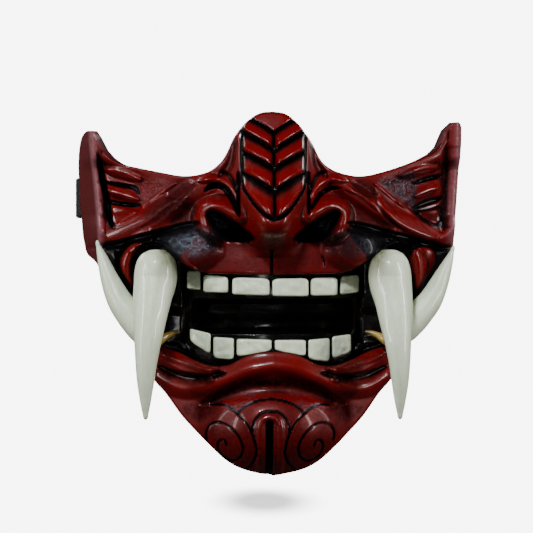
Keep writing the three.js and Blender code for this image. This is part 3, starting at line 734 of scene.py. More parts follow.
PATCHES = (
    Patch("socket of the fang", 3.0,
          ((36, 35.5), (44, 35.4), (52, 34), (64, 32), (76, 29.6), (88, 28), (97, 28),
           (97, 8), (80, -5), (74, -15), (69, -25), (60, -26), (56, -20), (56, 0), (47, 18),
           (45, 23), (40, 29)), ink=1),
    Patch("left moustache", 10.0,
          ((24, 35), (34, 36.5), (46, 35), (54, 30), (49, 24.5), (42, 20), (34, 21),
           (27, 25)), ink=0.7, speckle=1.0, side=Side.LEFT),
    Patch("right moustache", 12.0,
          ((22, 33), (34, 36.5), (46, 35), (56, 31), (50, 24.5), (42, 19.5), (34, 20),
           (25, 24)), ink=0.6, speckle=0.25, side=Side.RIGHT),
    # Painted shade under the nose
    Patch("upper lip under the nose", 10.0, ((-10, 29), (10, 31), (24, 30), (27, 25), (14, 23),
                                             (-10, 23)), ink=0.34),
    Patch("upper lip", 6.0, ((-10, 23), (10, 24), (26, 26), (36, 21), (30, 14), (-10, 13)),
          ink=0.3),
    Patch("scrolls of the chin", 6.0, ((-6, -46), (8, -47), (22, -53), (34, -60), (30, -76),
                                       (12, -88), (-6, -88)), ink=0.3),
    Patch("foot of the left cheek band", 5.0, ((86, 31), (74, 33), (60, 37), (62, 42), (74, 38),
                                               (84, 36)), ink=0.36, side=Side.LEFT),
    Patch("foot of the right cheek band", 5.0, ((88, 29), (74, 32), (60, 37), (62, 40), (74, 36),
                                                (88, 32)), ink=0.2, side=Side.RIGHT),
    Patch("pit of the nostril", 3.6,
          ((32.4, 42.6), (29.8, 44), (25.4, 42), (20, 38.4), (15, 34.6), (12, 31.6),
           (14.4, 30.4), (19, 30.4), (23.6, 30.9), (26.6, 32.2), (29.4, 35.6), (31.6, 39)),
          rise=-15.0, speckle=1.0),
    Patch("black of the nostril", 2.4,
          ((32.8, 42.8), (30, 44.4), (25.2, 42.8), (19.4, 39.2), (13.6, 35), (9.4, 30.8),
           (12.4, 28.4), (19, 28.8), (23.8, 29.4), (27, 31), (29.8, 35), (32, 38.8)),
          ink=1),
    Patch("red beside the right fang", 2.2,
          ((69.5, 22.5), (74, 26.4), (80, 26), (82.6, 21.5), (80.8, 15), (76.6, 9.5),
           (73, 6), (71.6, 12), (69.8, 18)), bare=1, rise=1.2, side=Side.RIGHT),
    Patch("red beside the left fang", 2.2,
          ((66, 28.4), (72, 27), (76.4, 20), (74.8, 13), (70.4, 7), (71.4, 14), (71, 20),
           (68, 25)), bare=1, rise=1.2, side=Side.LEFT),
    Patch("shade of the left cheek", 9.0,
          ((38, 58), (50, 56), (60, 48), (66, 40), (58, 38), (50, 41), (42, 46)), ink=0.56,
          side=Side.LEFT),
    Patch("floor of the left fan", 5.0,
          ((50, 59), (60, 60.5), (66, 63), (70, 58), (68, 47), (64, 49), (58, 53.5)),
          ink=0.2, speckle=1.0, side=Side.LEFT),
    Patch("floor of the right fan", 5.0,
          ((53, 59.6), (62, 63), (72, 66), (74, 58), (72, 46), (64, 50)),
          ink=0.56, speckle=1.0, side=Side.RIGHT),
    Patch("third left finger", 1.9, ((68.8, 44.6), (75, 46.4), (81.8, 47.4), (81.6, 42),
                                     (79.6, 38.4), (74, 41)), rise=2.4, side=Side.LEFT),
    Patch("third right finger", 1.6, ((74, 43.8), (79, 45.4), (85, 46.4), (85.4, 42),
                                      (84.4, 38.8), (80.4, 39)), rise=2.8, bare=0.5,
          side=Side.RIGHT),
    Patch("black at the left fan's foot", 2.4, ((83, 50), (86, 48), (82.6, 36.6), (78.6, 36),
                                                (82, 41)), ink=0.9, side=Side.LEFT),
    Patch("black at the right fan's foot", 2.4, ((70.6, 46), (74, 41), (80, 37.4), (87, 36.4),
                                                 (87, 48), (80, 47)), ink=0.9,
          side=Side.RIGHT),
    # Painted shade under the lobes of the lower lip
    Patch("under the lobe", 6.0, ((55, -33), (46, -36), (34, -36), (27, -37), (34, -42),
                                  (44, -42.5), (53, -39)), ink=0.45),
    Patch("shoulder of the chin", 5.0, ((9, -45.5), (20, -49.5), (24, -53.6), (18, -54), (12, -51)),
          speckle=0.9),
)


@dataclass(frozen=True)
class NosePanel:
    """The leaf-like panel of overlapping scales on the bridge of the nose.

    Its V-shaped lines start at a height in the middle and climb outwards as a power of x. Between
    two lines lies a scale, w from 0 at its lower to 1 at its upper line: it swells steeply over
    the lip of its lower edge and falls off as (1 - w) to a power towards its upper one. Its upper
    part is darkened: painted shade under the lip of the scale above.
    """

    half: float = 15.9
    groove: float = 2.0
    swell: float = 4.2
    crest: float = 1.25
    lip: float = 0.26
    fall: float = 0.9
    sink: float = 1.1
    shade: float = 0.85
    slant: float = 0.84
    above: float = 0.7
    below: float = 1.35
    border: float = 0.3
    cut: float = 0.9
    lines: dict[str, Array] = field(default_factory=lambda: table(
        ("middle", "climb", "power"),
        ((83.3, 9.6, 0.85), (74.3, 9.8, 0.88), (65.2, 8.6, 0.9), (54.2, 8.8, 0.9),
         (40.5, 15.5, 1.7)),
    ))

    def levels(self, side: Array) -> Array:
        """Height of each line at distances from the middle, highest first."""
        share = (clamp(side, 0.0, 20.0) / 15.0)[:, None]
        return self.lines["middle"] + self.lines["climb"] * share ** self.lines["power"]

    def shape(self, x: Array, z: Array) -> tuple[Array, Array, Array]:
        """The panel's relief and paint.

        Args:
            x: The places' x.
            z: The places' z.

        Returns:
            Its height, its black share with the painted shade on the scales, and its worn share.
        """
        side = np.abs(x)
        levels = self.levels(side)
        inside = smooth((self.half - side) / 1.6) * (z > levels[:, -1] - 1) * (z < levels[:, 0])
        height, rub, shade = (np.zeros(x.shape) for _ in range(3))
        for index in range(levels.shape[1] - 1):
            high, low = levels[:, index], levels[:, index + 1]
            share = clamp((z - low) / (high - low), 0.0, 1.0)
            here = (z >= low) & (z < high)
            short = 1 - np.minimum(share / self.lip, 1.0)
            swell = np.sqrt(1 - short**2) * (1 - share) ** self.fall * self.crest
            height = np.where(here, self.swell * swell, height)
            # The upper part of each scale is darkened: painted shade under the scale above
            shade = np.where(here, self.shade * smooth((share - 0.45) / 0.45), shade)
            rub = np.where(here, roll((share - 0.3) / 0.35), rub)
        height = (height * smooth((side - 0.2) / 2.6) - self.sink) * inside
        off = (z[:, None] - levels) * self.slant
        off = np.where(off > 0, off / self.above, off / self.groove / self.below)
        lines = roll(off.T).max(axis=0) * (side < self.half + self.border)
        rub = rub * smooth((self.half - 0.6 - side) / 2.5)
        middle = roll(side / 1.1) * (z < levels[:, 0]) * (z > levels[:, -1])
        edge = roll((side - self.half + self.border) / 1.6) * (z < levels[:, 0] + 1)
        edge *= z > levels[:, -1] - 0.5
        ink = np.maximum(np.maximum(lines, middle), edge)
        paint = np.maximum(smooth(ink * 1.7), shade * inside)
        return height - self.cut * ink, paint, rub * inside


PANEL = NosePanel()


@dataclass
class Relief:
    """The carved front of the face at places of the front view, with its paint."""

    depth: Array
    ink: Array
    rub: Array
    speckle: Array


def carve(x: Array, z: Array) -> Relief:
    """Works out the front of the face: the plain form, its domes, its strokes and its patches.

    Args:
        x: The places' x, in any shape.
        z: The places' z, in the same shape.

    Returns:
        The relief, each field in the shape of x.
    """
    shape = x.shape
    x, z = x.ravel(), z.ravel()
    depth = FORM.depth(x, z)
    ink, rub, speckle, bare = (np.zeros(x.shape) for _ in range(4))
    for form in DOMES:
        depth += form.height(np.abs(x), z)
    for stroke in STROKES:
        share, wide = stroke.place(x, z)
        depth += stroke.rise * share
        ink = np.maximum(ink, smooth(wide * stroke.crisp) * stroke.ink)
        rub = np.maximum(rub, share * stroke.rub)
    for patch in PATCHES:
        share = patch.share(x, z)
        depth += patch.rise * share
        ink = np.maximum(ink, share * patch.ink)
        bare = np.maximum(bare, share * patch.bare)
        speckle = np.maximum(speckle, share * patch.speckle)
    # The panel's black share holds its black lines and the painted shade on its scales
    height, lines, worn = PANEL.shape(x, z)
    depth += height
    ink = np.maximum(ink * (1 - bare), lines)
    rub = np.maximum(rub, 0.7 * worn)
    depth += unevenness((x, z), seed=7, wave=16.0, height=0.18)
    return Relief(*(part.reshape(shape) for part in (depth, ink, rub, speckle)))


def hollow_depth(x: Array, z: Array, front: Array) -> Array:
    """Depth of the hollow side: the plain form moved in by the wall, and behind every groove.

    Args:
        x: The places' x.
        z: The places' z.
        front: Depth of the carved front there.

    Returns:
        The depth of the hollow side.
    """
    across = (FORM.depth(x + 1, z) - FORM.depth(x - 1, z)) / 2
    up = (FORM.depth(x, z + 1) - FORM.depth(x, z - 1)) / 2
    slant = np.minimum(np.sqrt(1 + across**2 + up**2), 1.8)
    plain = FORM.depth(x, z) - WALL * slant - NOSTRIL_BACK.height(np.abs(x), z)
    return np.minimum(plain, front - THINNEST)


# Meshes


def to_row(points: Array) -> Array:
    """Moves points from (x, depth, z) in millimetres to the row's frame in metres."""
    x, depth, z = points.T
    return np.stack([x, SEAT_DEPTH - depth, z - SEAT_Z], axis=1) * MM


class Skin:
    """The corners, faces and named values of one piece under construction."""

    def __init__(self, *names: str) -> None:
        """Starts empty.

        Args:
            *names: Values that each corner carries, 0 where none is given.
        """
        self.points: list[Array] = []
        self.values: dict[str, list[Array]] = {name: [] for name in names}
        self.faces: list[Array] = []
        self.count = 0

    def add(self, points: Array, **values: Array) -> Array:
        """Adds corners.

        Args:
            points: (x, depth, z) in the last axis, any number of axes before it.
            **values: Named values in the shape of those other axes.

        Returns:
            The corners' numbers, in the shape of those other axes.
        """
        shape = points.shape[:-1]
        size = int(np.prod(shape))
        self.points.append(points.reshape(-1, 3))
        for name, parts in self.values.items():
            parts.append(np.broadcast_to(values.get(name, 0.0), shape).reshape(-1))
        start = self.count
        self.count += size
        return np.arange(start, self.count).reshape(shape)

    def quads(self, a: Array, b: Array, c: Array, d: Array) -> None:
        """Adds four-cornered faces from arrays of corner numbers."""
        self.faces.append(np.stack([a.ravel(), b.ravel(), c.ravel(), d.ravel()], axis=1))

    def triangles(self, a: Array, b: Array, c: Array) -> None:
        """Adds triangles from arrays of corner numbers."""
        self.faces.append(np.stack(np.broadcast_arrays(a, b, c), axis=-1).reshape(-1, 3))

    def sheet(self, index: Array, turned: bool = False) -> None:
        """Faces over a grid of corners, columns first, facing forwards, or backwards if turned."""
        ring = [index[:-1, :-1], index[1:, :-1], index[1:, 1:], index[:-1, 1:]]
        self.quads(*(ring[::-1] if turned else ring))

    def rim(self, fine: Array, coarse: Array) -> None:
        """Joins a closed loop of corners to a coarser one, even steps of it to each corner."""
        ratio = len(fine) // len(coarse)
        half = (ratio + 1) // 2
        near, far = coarse, np.roll(coarse, -1)
        step = fine.reshape(-1, ratio)
        ends = np.concatenate([step, np.roll(step[:, :1], -1, axis=0)], axis=1)
        for k in range(ratio):
            self.triangles(ends[:, k + 1], ends[:, k], near if k < half else far)
        self.triangles(ends[:, half], near, far)

    def tube(self, rings: Array, start: int | None = None, end: int | None = None) -> None:
        """Faces over rings of corners that turn right-handed about their run.

        Args:
            rings: One row of corner numbers a ring.
            start: A corner that closes the first ring.
            end: A corner that closes the last ring.
        """
        ahead = np.roll(rings, -1, axis=1)
        self.quads(rings[:-1], ahead[:-1], ahead[1:], rings[1:])
        if start is not None:
            self.triangles(np.full_like(rings[0], start), ahead[0], rings[0])
        if end is not None:
            self.triangles(np.full_like(rings[-1], end), rings[-1], ahead[-1])

    def build(self, name: str, material: bpy.types.Material, slot: str, nodes: tuple[str, ...],
              sharp: float = 60.0) -> bpy.types.Object:
        """Makes the Blender object and lets it stand for its CAD nodes.

        Args:
            name: The piece's name.
            material: Its finish.
            slot: The record's material slot; not used.
            nodes: The CAD nodes that it replaces.
            sharp: The angle in degrees past which an edge is drawn sharp.

        Returns:
            The object.
        """
        blocks = [self.whole(block) for block in self.faces]
        used = np.unique(np.concatenate([block.ravel() for block in blocks]))
        number = np.full(self.count, -1)
        number[used] = np.arange(len(used))
        points = to_row(np.concatenate(self.points))[used]
        mesh = bpy.data.meshes.new(name)
        faces = [face for block in blocks for face in number[block].tolist()]
        mesh.from_pydata(points.tolist(), [], faces)
        for title, parts in self.values.items():
            layer = mesh.attributes.new(title, "FLOAT", "POINT")
            layer.data.foreach_set("value", np.concatenate(parts)[used].astype(np.float32))
        mesh.validate()
        mesh.polygons.foreach_set("use_smooth", np.ones(len(mesh.polygons), bool))
        mesh.set_sharp_from_angle(angle=math.radians(sharp))
        mesh.materials.append(material)
        piece = bpy.data.objects.new(name, mesh)
        bpy.context.scene.collection.objects.link(piece)
        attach(piece, "root")
        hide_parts(*nodes)
        count = sum(len(face) - 2 for face in faces)
        LOG.info("%s: %d corners, %d triangles", name, len(used), count)
        return piece

    @staticmethod
    def whole(faces: Array) -> Array:
        """The faces whose corners all differ, in their order."""
        return faces[(np.diff(np.sort(faces, axis=1), axis=1) > 0).all(axis=1)]


def border(grid: Array) -> Array:
    """The outer loop of a grid of corners, left to right along the bottom first."""
    return np.concatenate([grid[:, 0], grid[-1, 1:], grid[-2::-1, -1], grid[0, -2:0:-1]])


# Node graphs


class Graph:
    """A short way to write a tree of shader nodes."""

    def __init__(self, tree: bpy.types.NodeTree) -> None:
        """Keeps the tree."""
        self.tree = tree

    def add(self, kind: str, **settings: object) -> bpy.types.Node:
        """Adds a node and sets its properties."""
        node = self.tree.nodes.new(kind)
        for key, value in settings.items():
            setattr(node, key, value)
        return node

    def feed(self, socket: bpy.types.NodeSocket, value: Feed) -> None:
        """Links a socket into an input, or sets the input to a constant."""
        if isinstance(value, bpy.types.NodeSocket):
            self.tree.links.new(value, socket)
        elif socket.type == "RGBA":
            socket.default_value = (*value, 1.0)
        else:
            socket.default_value = value

    def fill(self, node: bpy.types.Node, values: dict[str, Feed]) -> None:
        """Feeds a node's inputs by name."""
        for name, value in values.items():
            self.feed(node.inputs[name], value)

    def math(self, operation: str, *values: Feed) -> Feed:
        """The result of a Math node."""
        node = self.add("ShaderNodeMath", operation=operation)
        for socket, value in zip(node.inputs, values):
            self.feed(socket, value)
        return node.outputs[0]

    def plus(self, a: Feed, b: Feed) -> Feed:
        """The sum of two numbers."""
        return self.math("ADD", a, b)

    def minus(self, a: Feed, b: Feed) -> Feed:
        """The first number less the second."""
        return self.math("SUBTRACT", a, b)

    def times(self, a: Feed, b: Feed) -> Feed:
        """The product of two numbers."""
        return self.math("MULTIPLY", a, b)

    def mix(self, share: Feed, a: Feed, b: Feed) -> Feed:
        """A colour that goes from a to b."""
        node = self.add("ShaderNodeMix", data_type="RGBA")
        for socket, value in zip((node.inputs[0], node.inputs[6], node.inputs[7]), (share, a, b)):
            self.feed(socket, value)
        return node.outputs[2]

    def blend(self, share: Feed, a: Feed, b: Feed) -> Feed:
        """A number that goes from a to b."""
        node = self.add("ShaderNodeMix", data_type="FLOAT")
        for socket, value in zip((node.inputs[0], node.inputs[2], node.inputs[3]), (share, a, b)):
            self.feed(socket, value)
        return node.outputs[0]

    def step(self, value: Feed, low: float, high: float) -> Feed:
        """A soft step from 0 at low to 1 at high."""
        node = self.add("ShaderNodeMapRange", interpolation_type="SMOOTHSTEP")
        self.fill(node, {"Value": value, "From Min": low, "From Max": high})
        return node.outputs["Result"]

    def noise(self, vector: Feed, scale: Feed, detail: float = 2.0,
              roughness: float = 0.5) -> Feed:
        """A noise from 0 to 1."""
        node = self.add("ShaderNodeTexNoise")
        self.fill(node, {"Vector": vector, "Scale": scale, "Detail": detail,
                         "Roughness": roughness})
        return node.outputs["Fac"]

    def attributes(self, *names: str) -> list[Feed]:
        """Named values of the mesh."""
        return [self.add("ShaderNodeAttribute", attribute_name=name).outputs["Fac"]
                for name in names]

    def place(self) -> Feed:
        """Object coordinates, in metres."""
        return self.add("ShaderNodeTexCoord").outputs["Object"]

    def split(self, vector: Feed) -> tuple[Feed, Feed]:
        """The x and y of a vector."""
        node = self.add("ShaderNodeSeparateXYZ")
        self.feed(node.inputs[0], vector)
        return node.outputs["X"], node.outputs["Y"]

    def stretched(self, vector: Feed, scale: tuple[float, float, float]) -> Feed:
        """A vector scaled axis by axis."""
        node = self.add("ShaderNodeMapping")
        self.fill(node, {"Vector": vector, "Scale": scale})
        return node.outputs["Vector"]

    def bump(self, height: Feed, distance: float, strength: float,
             normal: Feed | None = None) -> Feed:
        """The normal of a bumpy surface, over another bump if one is given."""
        node = self.add("ShaderNodeBump")
        self.fill(node, {"Height": height, "Distance": distance, "Strength": strength})
        if normal is not None:
            self.feed(node.inputs["Normal"], normal)
        return node.outputs["Normal"]

    def group(self, tree: bpy.types.NodeTree, **values: Feed) -> Feed:
        """The output of a node group whose inputs are fed by name."""
        node = self.add("ShaderNodeGroup", node_tree=tree)
        self.fill(node, values)
        return node.outputs[0]


def new_group(name: str, inputs: dict[str, float], output: str) -> tuple[Graph, dict, Feed]:
    """Starts a node group that turns a vector and some numbers into one number.

    Args:
        name: The group's name.
        inputs: Its number inputs with their default values.
        output: The name of its output.

    Returns:
        A graph over its tree, its inputs by name, and the socket that takes its output.
    """
    tree = bpy.data.node_groups.new(name, "ShaderNodeTree")
    tree.interface.new_socket("Vector", in_out="INPUT", socket_type="NodeSocketVector")
    for title, value in inputs.items():
        socket = tree.interface.new_socket(title, in_out="INPUT", socket_type="NodeSocketFloat")
        socket.default_value = value
    tree.interface.new_socket(output, in_out="OUTPUT", socket_type="NodeSocketFloat")
    graph = Graph(tree)
    given = {socket.name: socket for socket in graph.add("NodeGroupInput").outputs}
    return graph, given, graph.add("NodeGroupOutput").inputs[output]


class Effects:
    """The effects that several finishes share, each built once."""

    def __init__(self) -> None:
        """Builds the node groups."""
        self.marks = self.brush_marks()
        self.grain = self.casting_grain()
        self.dust = self.fine_dust()

    @staticmethod
    def brush_marks() -> bpy.types.NodeTree:
        """Uneven paint: broad clouds broken up by short fine marks, from 0 to 1."""
        graph, given, mask = new_group("brush_marks", {"Size": 120.0}, "Mask")
        vector, size = given["Vector"], given["Size"]
        broad = graph.noise(vector, size, detail=3.0, roughness=0.6)
        fine = graph.noise(vector, graph.times(size, 7.0), roughness=0.7)
        both = graph.plus(graph.times(broad, 0.7), graph.times(fine, 0.3))
        graph.feed(mask, graph.step(both, 0.3, 0.7))
        return graph.tree

    @staticmethod
    def casting_grain() -> bpy.types.NodeTree:
        """The skin of cast and sprayed resin: a soft orange peel with a few pits, as a height."""
        graph, given, height = new_group("casting_grain", {"Size": 900.0, "Pits": 0.3}, "Height")
        vector, size = given["Vector"], given["Size"]
        peel = graph.noise(vector, size)
        pits = graph.step(graph.noise(vector, graph.times(size, 0.6), detail=0.0), 0.2, 0.34)
        sunk = graph.times(graph.minus(pits, 1.0), given["Pits"])
        graph.feed(height, graph.plus(peel, sunk))
        return graph.tree

    @staticmethod
    def fine_dust() -> bpy.types.NodeTree:
        """Small separate specks, from 0 to the amount."""
        graph, given, mask = new_group("fine_dust", {"Size": 1400.0, "Amount": 0.3}, "Mask")
        specks = graph.noise(given["Vector"], given["Size"], detail=1.0, roughness=0.4)
        graph.feed(mask, graph.times(graph.step(specks, 0.66, 0.78), given["Amount"]))
        return graph.tree


def new_material(name: str) -> tuple[bpy.types.Material, Graph, bpy.types.Node]:
    """Starts a material.

    Args:
        name: The material's name.

    Returns:
        The material, a graph over its tree and its Principled shader.
    """
    material = bpy.data.materials.new(name)
    material.use_nodes = True
    shader = material.node_tree.nodes["Principled BSDF"]
    return material, Graph(material.node_tree), shader


@dataclass(frozen=True)
class Lacquer:
    """Deep red gloss lacquer with black paint wiped into its hollows.

    The black is bluish and hammered where it is speckled, the side walls are duller with a pale
    painted highlight along the ridge, and the hollow side is matt and nearly black.
    """

    deep: Colour = (0.062, 0.0004, 0.0006)
    red: Colour = (0.105, 0.0009, 0.001)
    worn: Colour = (0.17, 0.0022, 0.002)
    wash: Colour = (0.0013, 0.0009, 0.001)
    wall: Colour = (0.06, 0.0006, 0.0008)
    hollow: Colour = (0.03, 0.021, 0.02)
    # Pale colour of the painted highlight along the ridge
    painted_sheen: Colour = (0.23, 0.1, 0.115)
    slate: Colour = (0.055, 0.06, 0.075)
    rough_rubbed: float = 0.15
    rough_red: float = 0.4
    rough_speckle: float = 0.27
    rough_ridge_satin: float = 0.4
    rough_wall: float = 0.55
    rough_hollow: float = 0.58
    wash_metal: float = 0.85
    coat_red: float = 0.08
    coat_rubbed: float = 0.5

    def make(self, effects: Effects) -> bpy.types.Material:
        """Builds the material, which reads the values that the shell's corners carry."""
        material, graph, shader = new_material("red_lacquer")
        place = graph.place()
        marks = graph.group(effects.marks, Vector=place, Size=70.0)
        broken = graph.group(effects.marks, Vector=place, Size=520.0)
        grain = graph.group(effects.grain, Vector=place, Size=900.0, Pits=0.5)
        dust = graph.group(effects.dust, Vector=place, Size=1300.0, Amount=0.3)
        ink, rub, speckle = graph.attributes("ink", "rub", "speckle")
        satin_and_sheen, wall, hollow = graph.attributes("satin_and_sheen", "wall", "hollow")
        loose = graph.times(graph.minus(broken, 0.5), 0.3)
        cloudy = graph.times(graph.minus(marks, 0.5), 0.12)
        black = graph.step(graph.plus(ink, graph.plus(loose, cloudy)), 0.06, 0.9)
        red = graph.mix(graph.times(rub, 0.55), graph.mix(marks, self.deep, self.red), self.worn)
        wash = graph.mix(graph.times(speckle, broken), self.wash, self.slate)
        colour = graph.mix(black, red, wash)
        colour = graph.mix(wall, colour, graph.mix(marks, self.wall, self.deep))
        colour = graph.mix(hollow, colour, graph.mix(marks, self.hollow, self.wash))
        colour = graph.mix(graph.times(dust, 0.5), colour, self.worn)
        # Painted highlight: a pale colour mixed in along the ridge, broken up by noise
        sheen_share = graph.times(satin_and_sheen, graph.blend(broken, 0.35, 0.8))
        rough = graph.plus(graph.blend(rub, self.rough_red, self.rough_rubbed),
                           graph.times(broken, 0.08))
        rough = graph.blend(speckle, rough, self.rough_speckle)
        rough = graph.blend(satin_and_sheen, rough, self.rough_ridge_satin)
        rough = graph.blend(wall, rough, self.rough_wall)
        rough = graph.blend(hollow, rough, self.rough_hollow)
        dull = graph.math("MAXIMUM", graph.math("MAXIMUM", wall, hollow),
                          graph.math("MAXIMUM", speckle, satin_and_sheen))
        shine = graph.times(graph.minus(1.0, dull),
                            graph.blend(rub, self.coat_red, self.coat_rubbed))
        hammered = graph.times(speckle, graph.noise(place, 620.0, detail=3.0, roughness=0.7))
        rise = graph.plus(graph.times(grain, 0.2), graph.times(hammered, 5.0))
        graph.fill(shader, {
            "Base Color": graph.mix(sheen_share, colour, self.painted_sheen),
            "Roughness": rough,
            "Metallic": graph.times(black, self.wash_metal),
            "Coat Weight": shine,
            "Coat Roughness": 0.07,
            "Specular IOR Level": 0.16,
            "Normal": graph.bump(marks, 0.0004, 0.2, graph.bump(rise, 0.00035, 0.5)),
        })
        return material


@dataclass(frozen=True)
class BlackResin:
    """Gloss black resin of the mouth insert, brownish where the lacquer's dust has settled."""

    black: Colour = (0.0008, 0.0007, 0.0008)
    brown: Colour = (0.005, 0.0022, 0.0016)

    def make(self, effects: Effects) -> bpy.types.Material:
        """Builds the material."""
        material, graph, shader = new_material("mouth_black")
        place = graph.place()
        marks = graph.group(effects.marks, Vector=place, Size=140.0)
        grain = graph.group(effects.grain, Vector=place, Size=700.0, Pits=0.6)
        dust = graph.group(effects.dust, Vector=place, Size=900.0, Amount=0.5)
        colour = graph.mix(graph.times(marks, 0.6), self.black, self.brown)
        graph.fill(shader, {
            "Base Color": graph.mix(dust, colour, self.brown),
            "Roughness": graph.blend(marks, 0.26, 0.42),
            "Metallic": 0.8,
            "Coat Weight": 0.2,
            "Coat Roughness": 0.12,
            "Normal": graph.bump(marks, 0.0012, 0.15, graph.bump(grain, 0.0006, 0.25)),
        })
        return material


@dataclass(frozen=True)
class Ivory:
    """Satin ivory white, tinted olive, amber and black where the pieces' values say so."""

    white: Colour = (0.65, 0.71, 0.54)
    cream: Colour = (0.46, 0.5, 0.32)
    olive: Colour = (0.085, 0.078, 0.026)
    amber: Colour = (0.28, 0.17, 0.015)
    black: Colour = (0.006, 0.005, 0.004)
    grain: tuple[float, float, float] = (1.0, 1.0, 0.12)

    def make(self, effects: Effects) -> bpy.types.Material:
        """Builds the material, which reads the pieces' olive tint, amber and ink."""
        material, graph, shader = new_material("ivory")
        place = graph.place()
        along = graph.stretched(place, self.grain)
        clouds = graph.group(effects.marks, Vector=along, Size=130.0)
        streaks = graph.group(effects.marks, Vector=along, Size=620.0)
        grain = graph.group(effects.grain, Vector=place, Size=1000.0, Pits=0.3)
        dust = graph.group(effects.dust, Vector=place, Size=1000.0, Amount=0.2)
        stain, amber, ink = graph.attributes("stain", "amber", "ink")
        shade = graph.times(graph.plus(clouds, streaks), 0.36)
        colour = graph.mix(shade, self.white, self.cream)
        colour = graph.mix(graph.times(stain, graph.blend(streaks, 0.7, 1.0)), colour, self.olive)
        amber = graph.times(graph.step(amber, 0.0, 0.7), graph.blend(streaks, 0.92, 1.0))
        colour = graph.mix(amber, colour, self.amber)
        colour = graph.mix(graph.times(ink, graph.blend(streaks, 0.6, 1.0)), colour, self.black)
        graph.fill(shader, {
            "Base Color": graph.mix(dust, colour, self.olive),
            "Roughness": graph.blend(clouds, 0.28, 0.42),
            "Coat Weight": graph.blend(clouds, 0.5, 0.2),
            "Coat Roughness": 0.1,
            "Subsurface Weight": 0.12,
            "Subsurface Radius": (0.004, 0.003, 0.002),
            "Subsurface Scale": 0.5,
            "Normal": graph.bump(grain, 0.0003, 0.25, graph.bump(streaks, 0.0004, 0.22)),
        })
        return material


@dataclass(frozen=True)
class Webbing:
    """Black elastic webbing: ribs across the band with threads that pass over and under them."""

    thread: Colour = (0.0026, 0.0026, 0.003)
    deep: Colour = (0.0007, 0.0007, 0.0009)
    lint: Colour = (0.01, 0.01, 0.01)
    rib: float = 1.5
    warp: float = 0.9

    def make(self, effects: Effects) -> bpy.types.Material:
        """Builds the material, which reads the band's UV map in millimetres."""
        material, graph, shader = new_material("black_elastic")
        place = graph.place()
        run, across = graph.split(graph.add("ShaderNodeUVMap", uv_map="weave").outputs["UV"])
        wave = graph.math("SINE", graph.times(run, math.pi / self.rib))
        over = graph.times(wave, graph.math("SINE", graph.times(across, math.pi / self.warp)))
        height = graph.plus(graph.times(over, 0.5),
                            graph.times(graph.math("ABSOLUTE", wave), 0.7))
        fuzz = graph.noise(place, 2600.0, roughness=0.7)
        dust = graph.group(effects.dust, Vector=place, Size=1100.0, Amount=0.5)
        # Darker where the weave dips: painted shade between the threads
        shade = graph.step(graph.plus(height, graph.times(fuzz, 0.5)), 0.2, 1.2)
        graph.fill(shader, {
            "Base Color": graph.mix(dust, graph.mix(shade, self.deep, self.thread), self.lint),
            "Roughness": graph.blend(shade, 0.9, 0.72),
            "Specular IOR Level": 0.15,
            "Sheen Weight": 0.03,
            "Sheen Roughness": 0.5,
            "Normal": graph.bump(fuzz, 0.0002, 0.5, graph.bump(height, 0.0004, 0.8)),
        })
        return material


@dataclass(frozen=True)
class PlatePlastic:
    """Matt black moulded plastic with a fine eroded texture."""

    black: Colour = (0.012, 0.012, 0.013)
    grey: Colour = (0.03, 0.03, 0.032)

    def make(self, effects: Effects) -> bpy.types.Material:
        """Builds the material."""
        material, graph, shader = new_material("plate_black")
        place = graph.place()
        marks = graph.group(effects.marks, Vector=place, Size=300.0)
        grain = graph.group(effects.grain, Vector=place, Size=2200.0, Pits=0.8)
        graph.fill(shader, {
            "Base Color": graph.mix(marks, self.black, self.grey),
            "Roughness": graph.blend(marks, 0.5, 0.66),
            "Normal": graph.bump(grain, 0.0003, 0.5),
        })
        return material


# Sub-assemblies

ARCH_UPPER = 80.0
ARCH_LOWER = 77.0
ARCH_REACH = 43.0
ARCH_FALL = 14.0
FANG_SEAT = 62.0
TUSK_SEAT = 59.0


def arch_depth(middle: Array, x: Array) -> Array:
    """Depth of a dental arch: its middle less a fall that grows with the square of x."""
    return middle - ARCH_FALL * (x / ARCH_REACH) ** 2


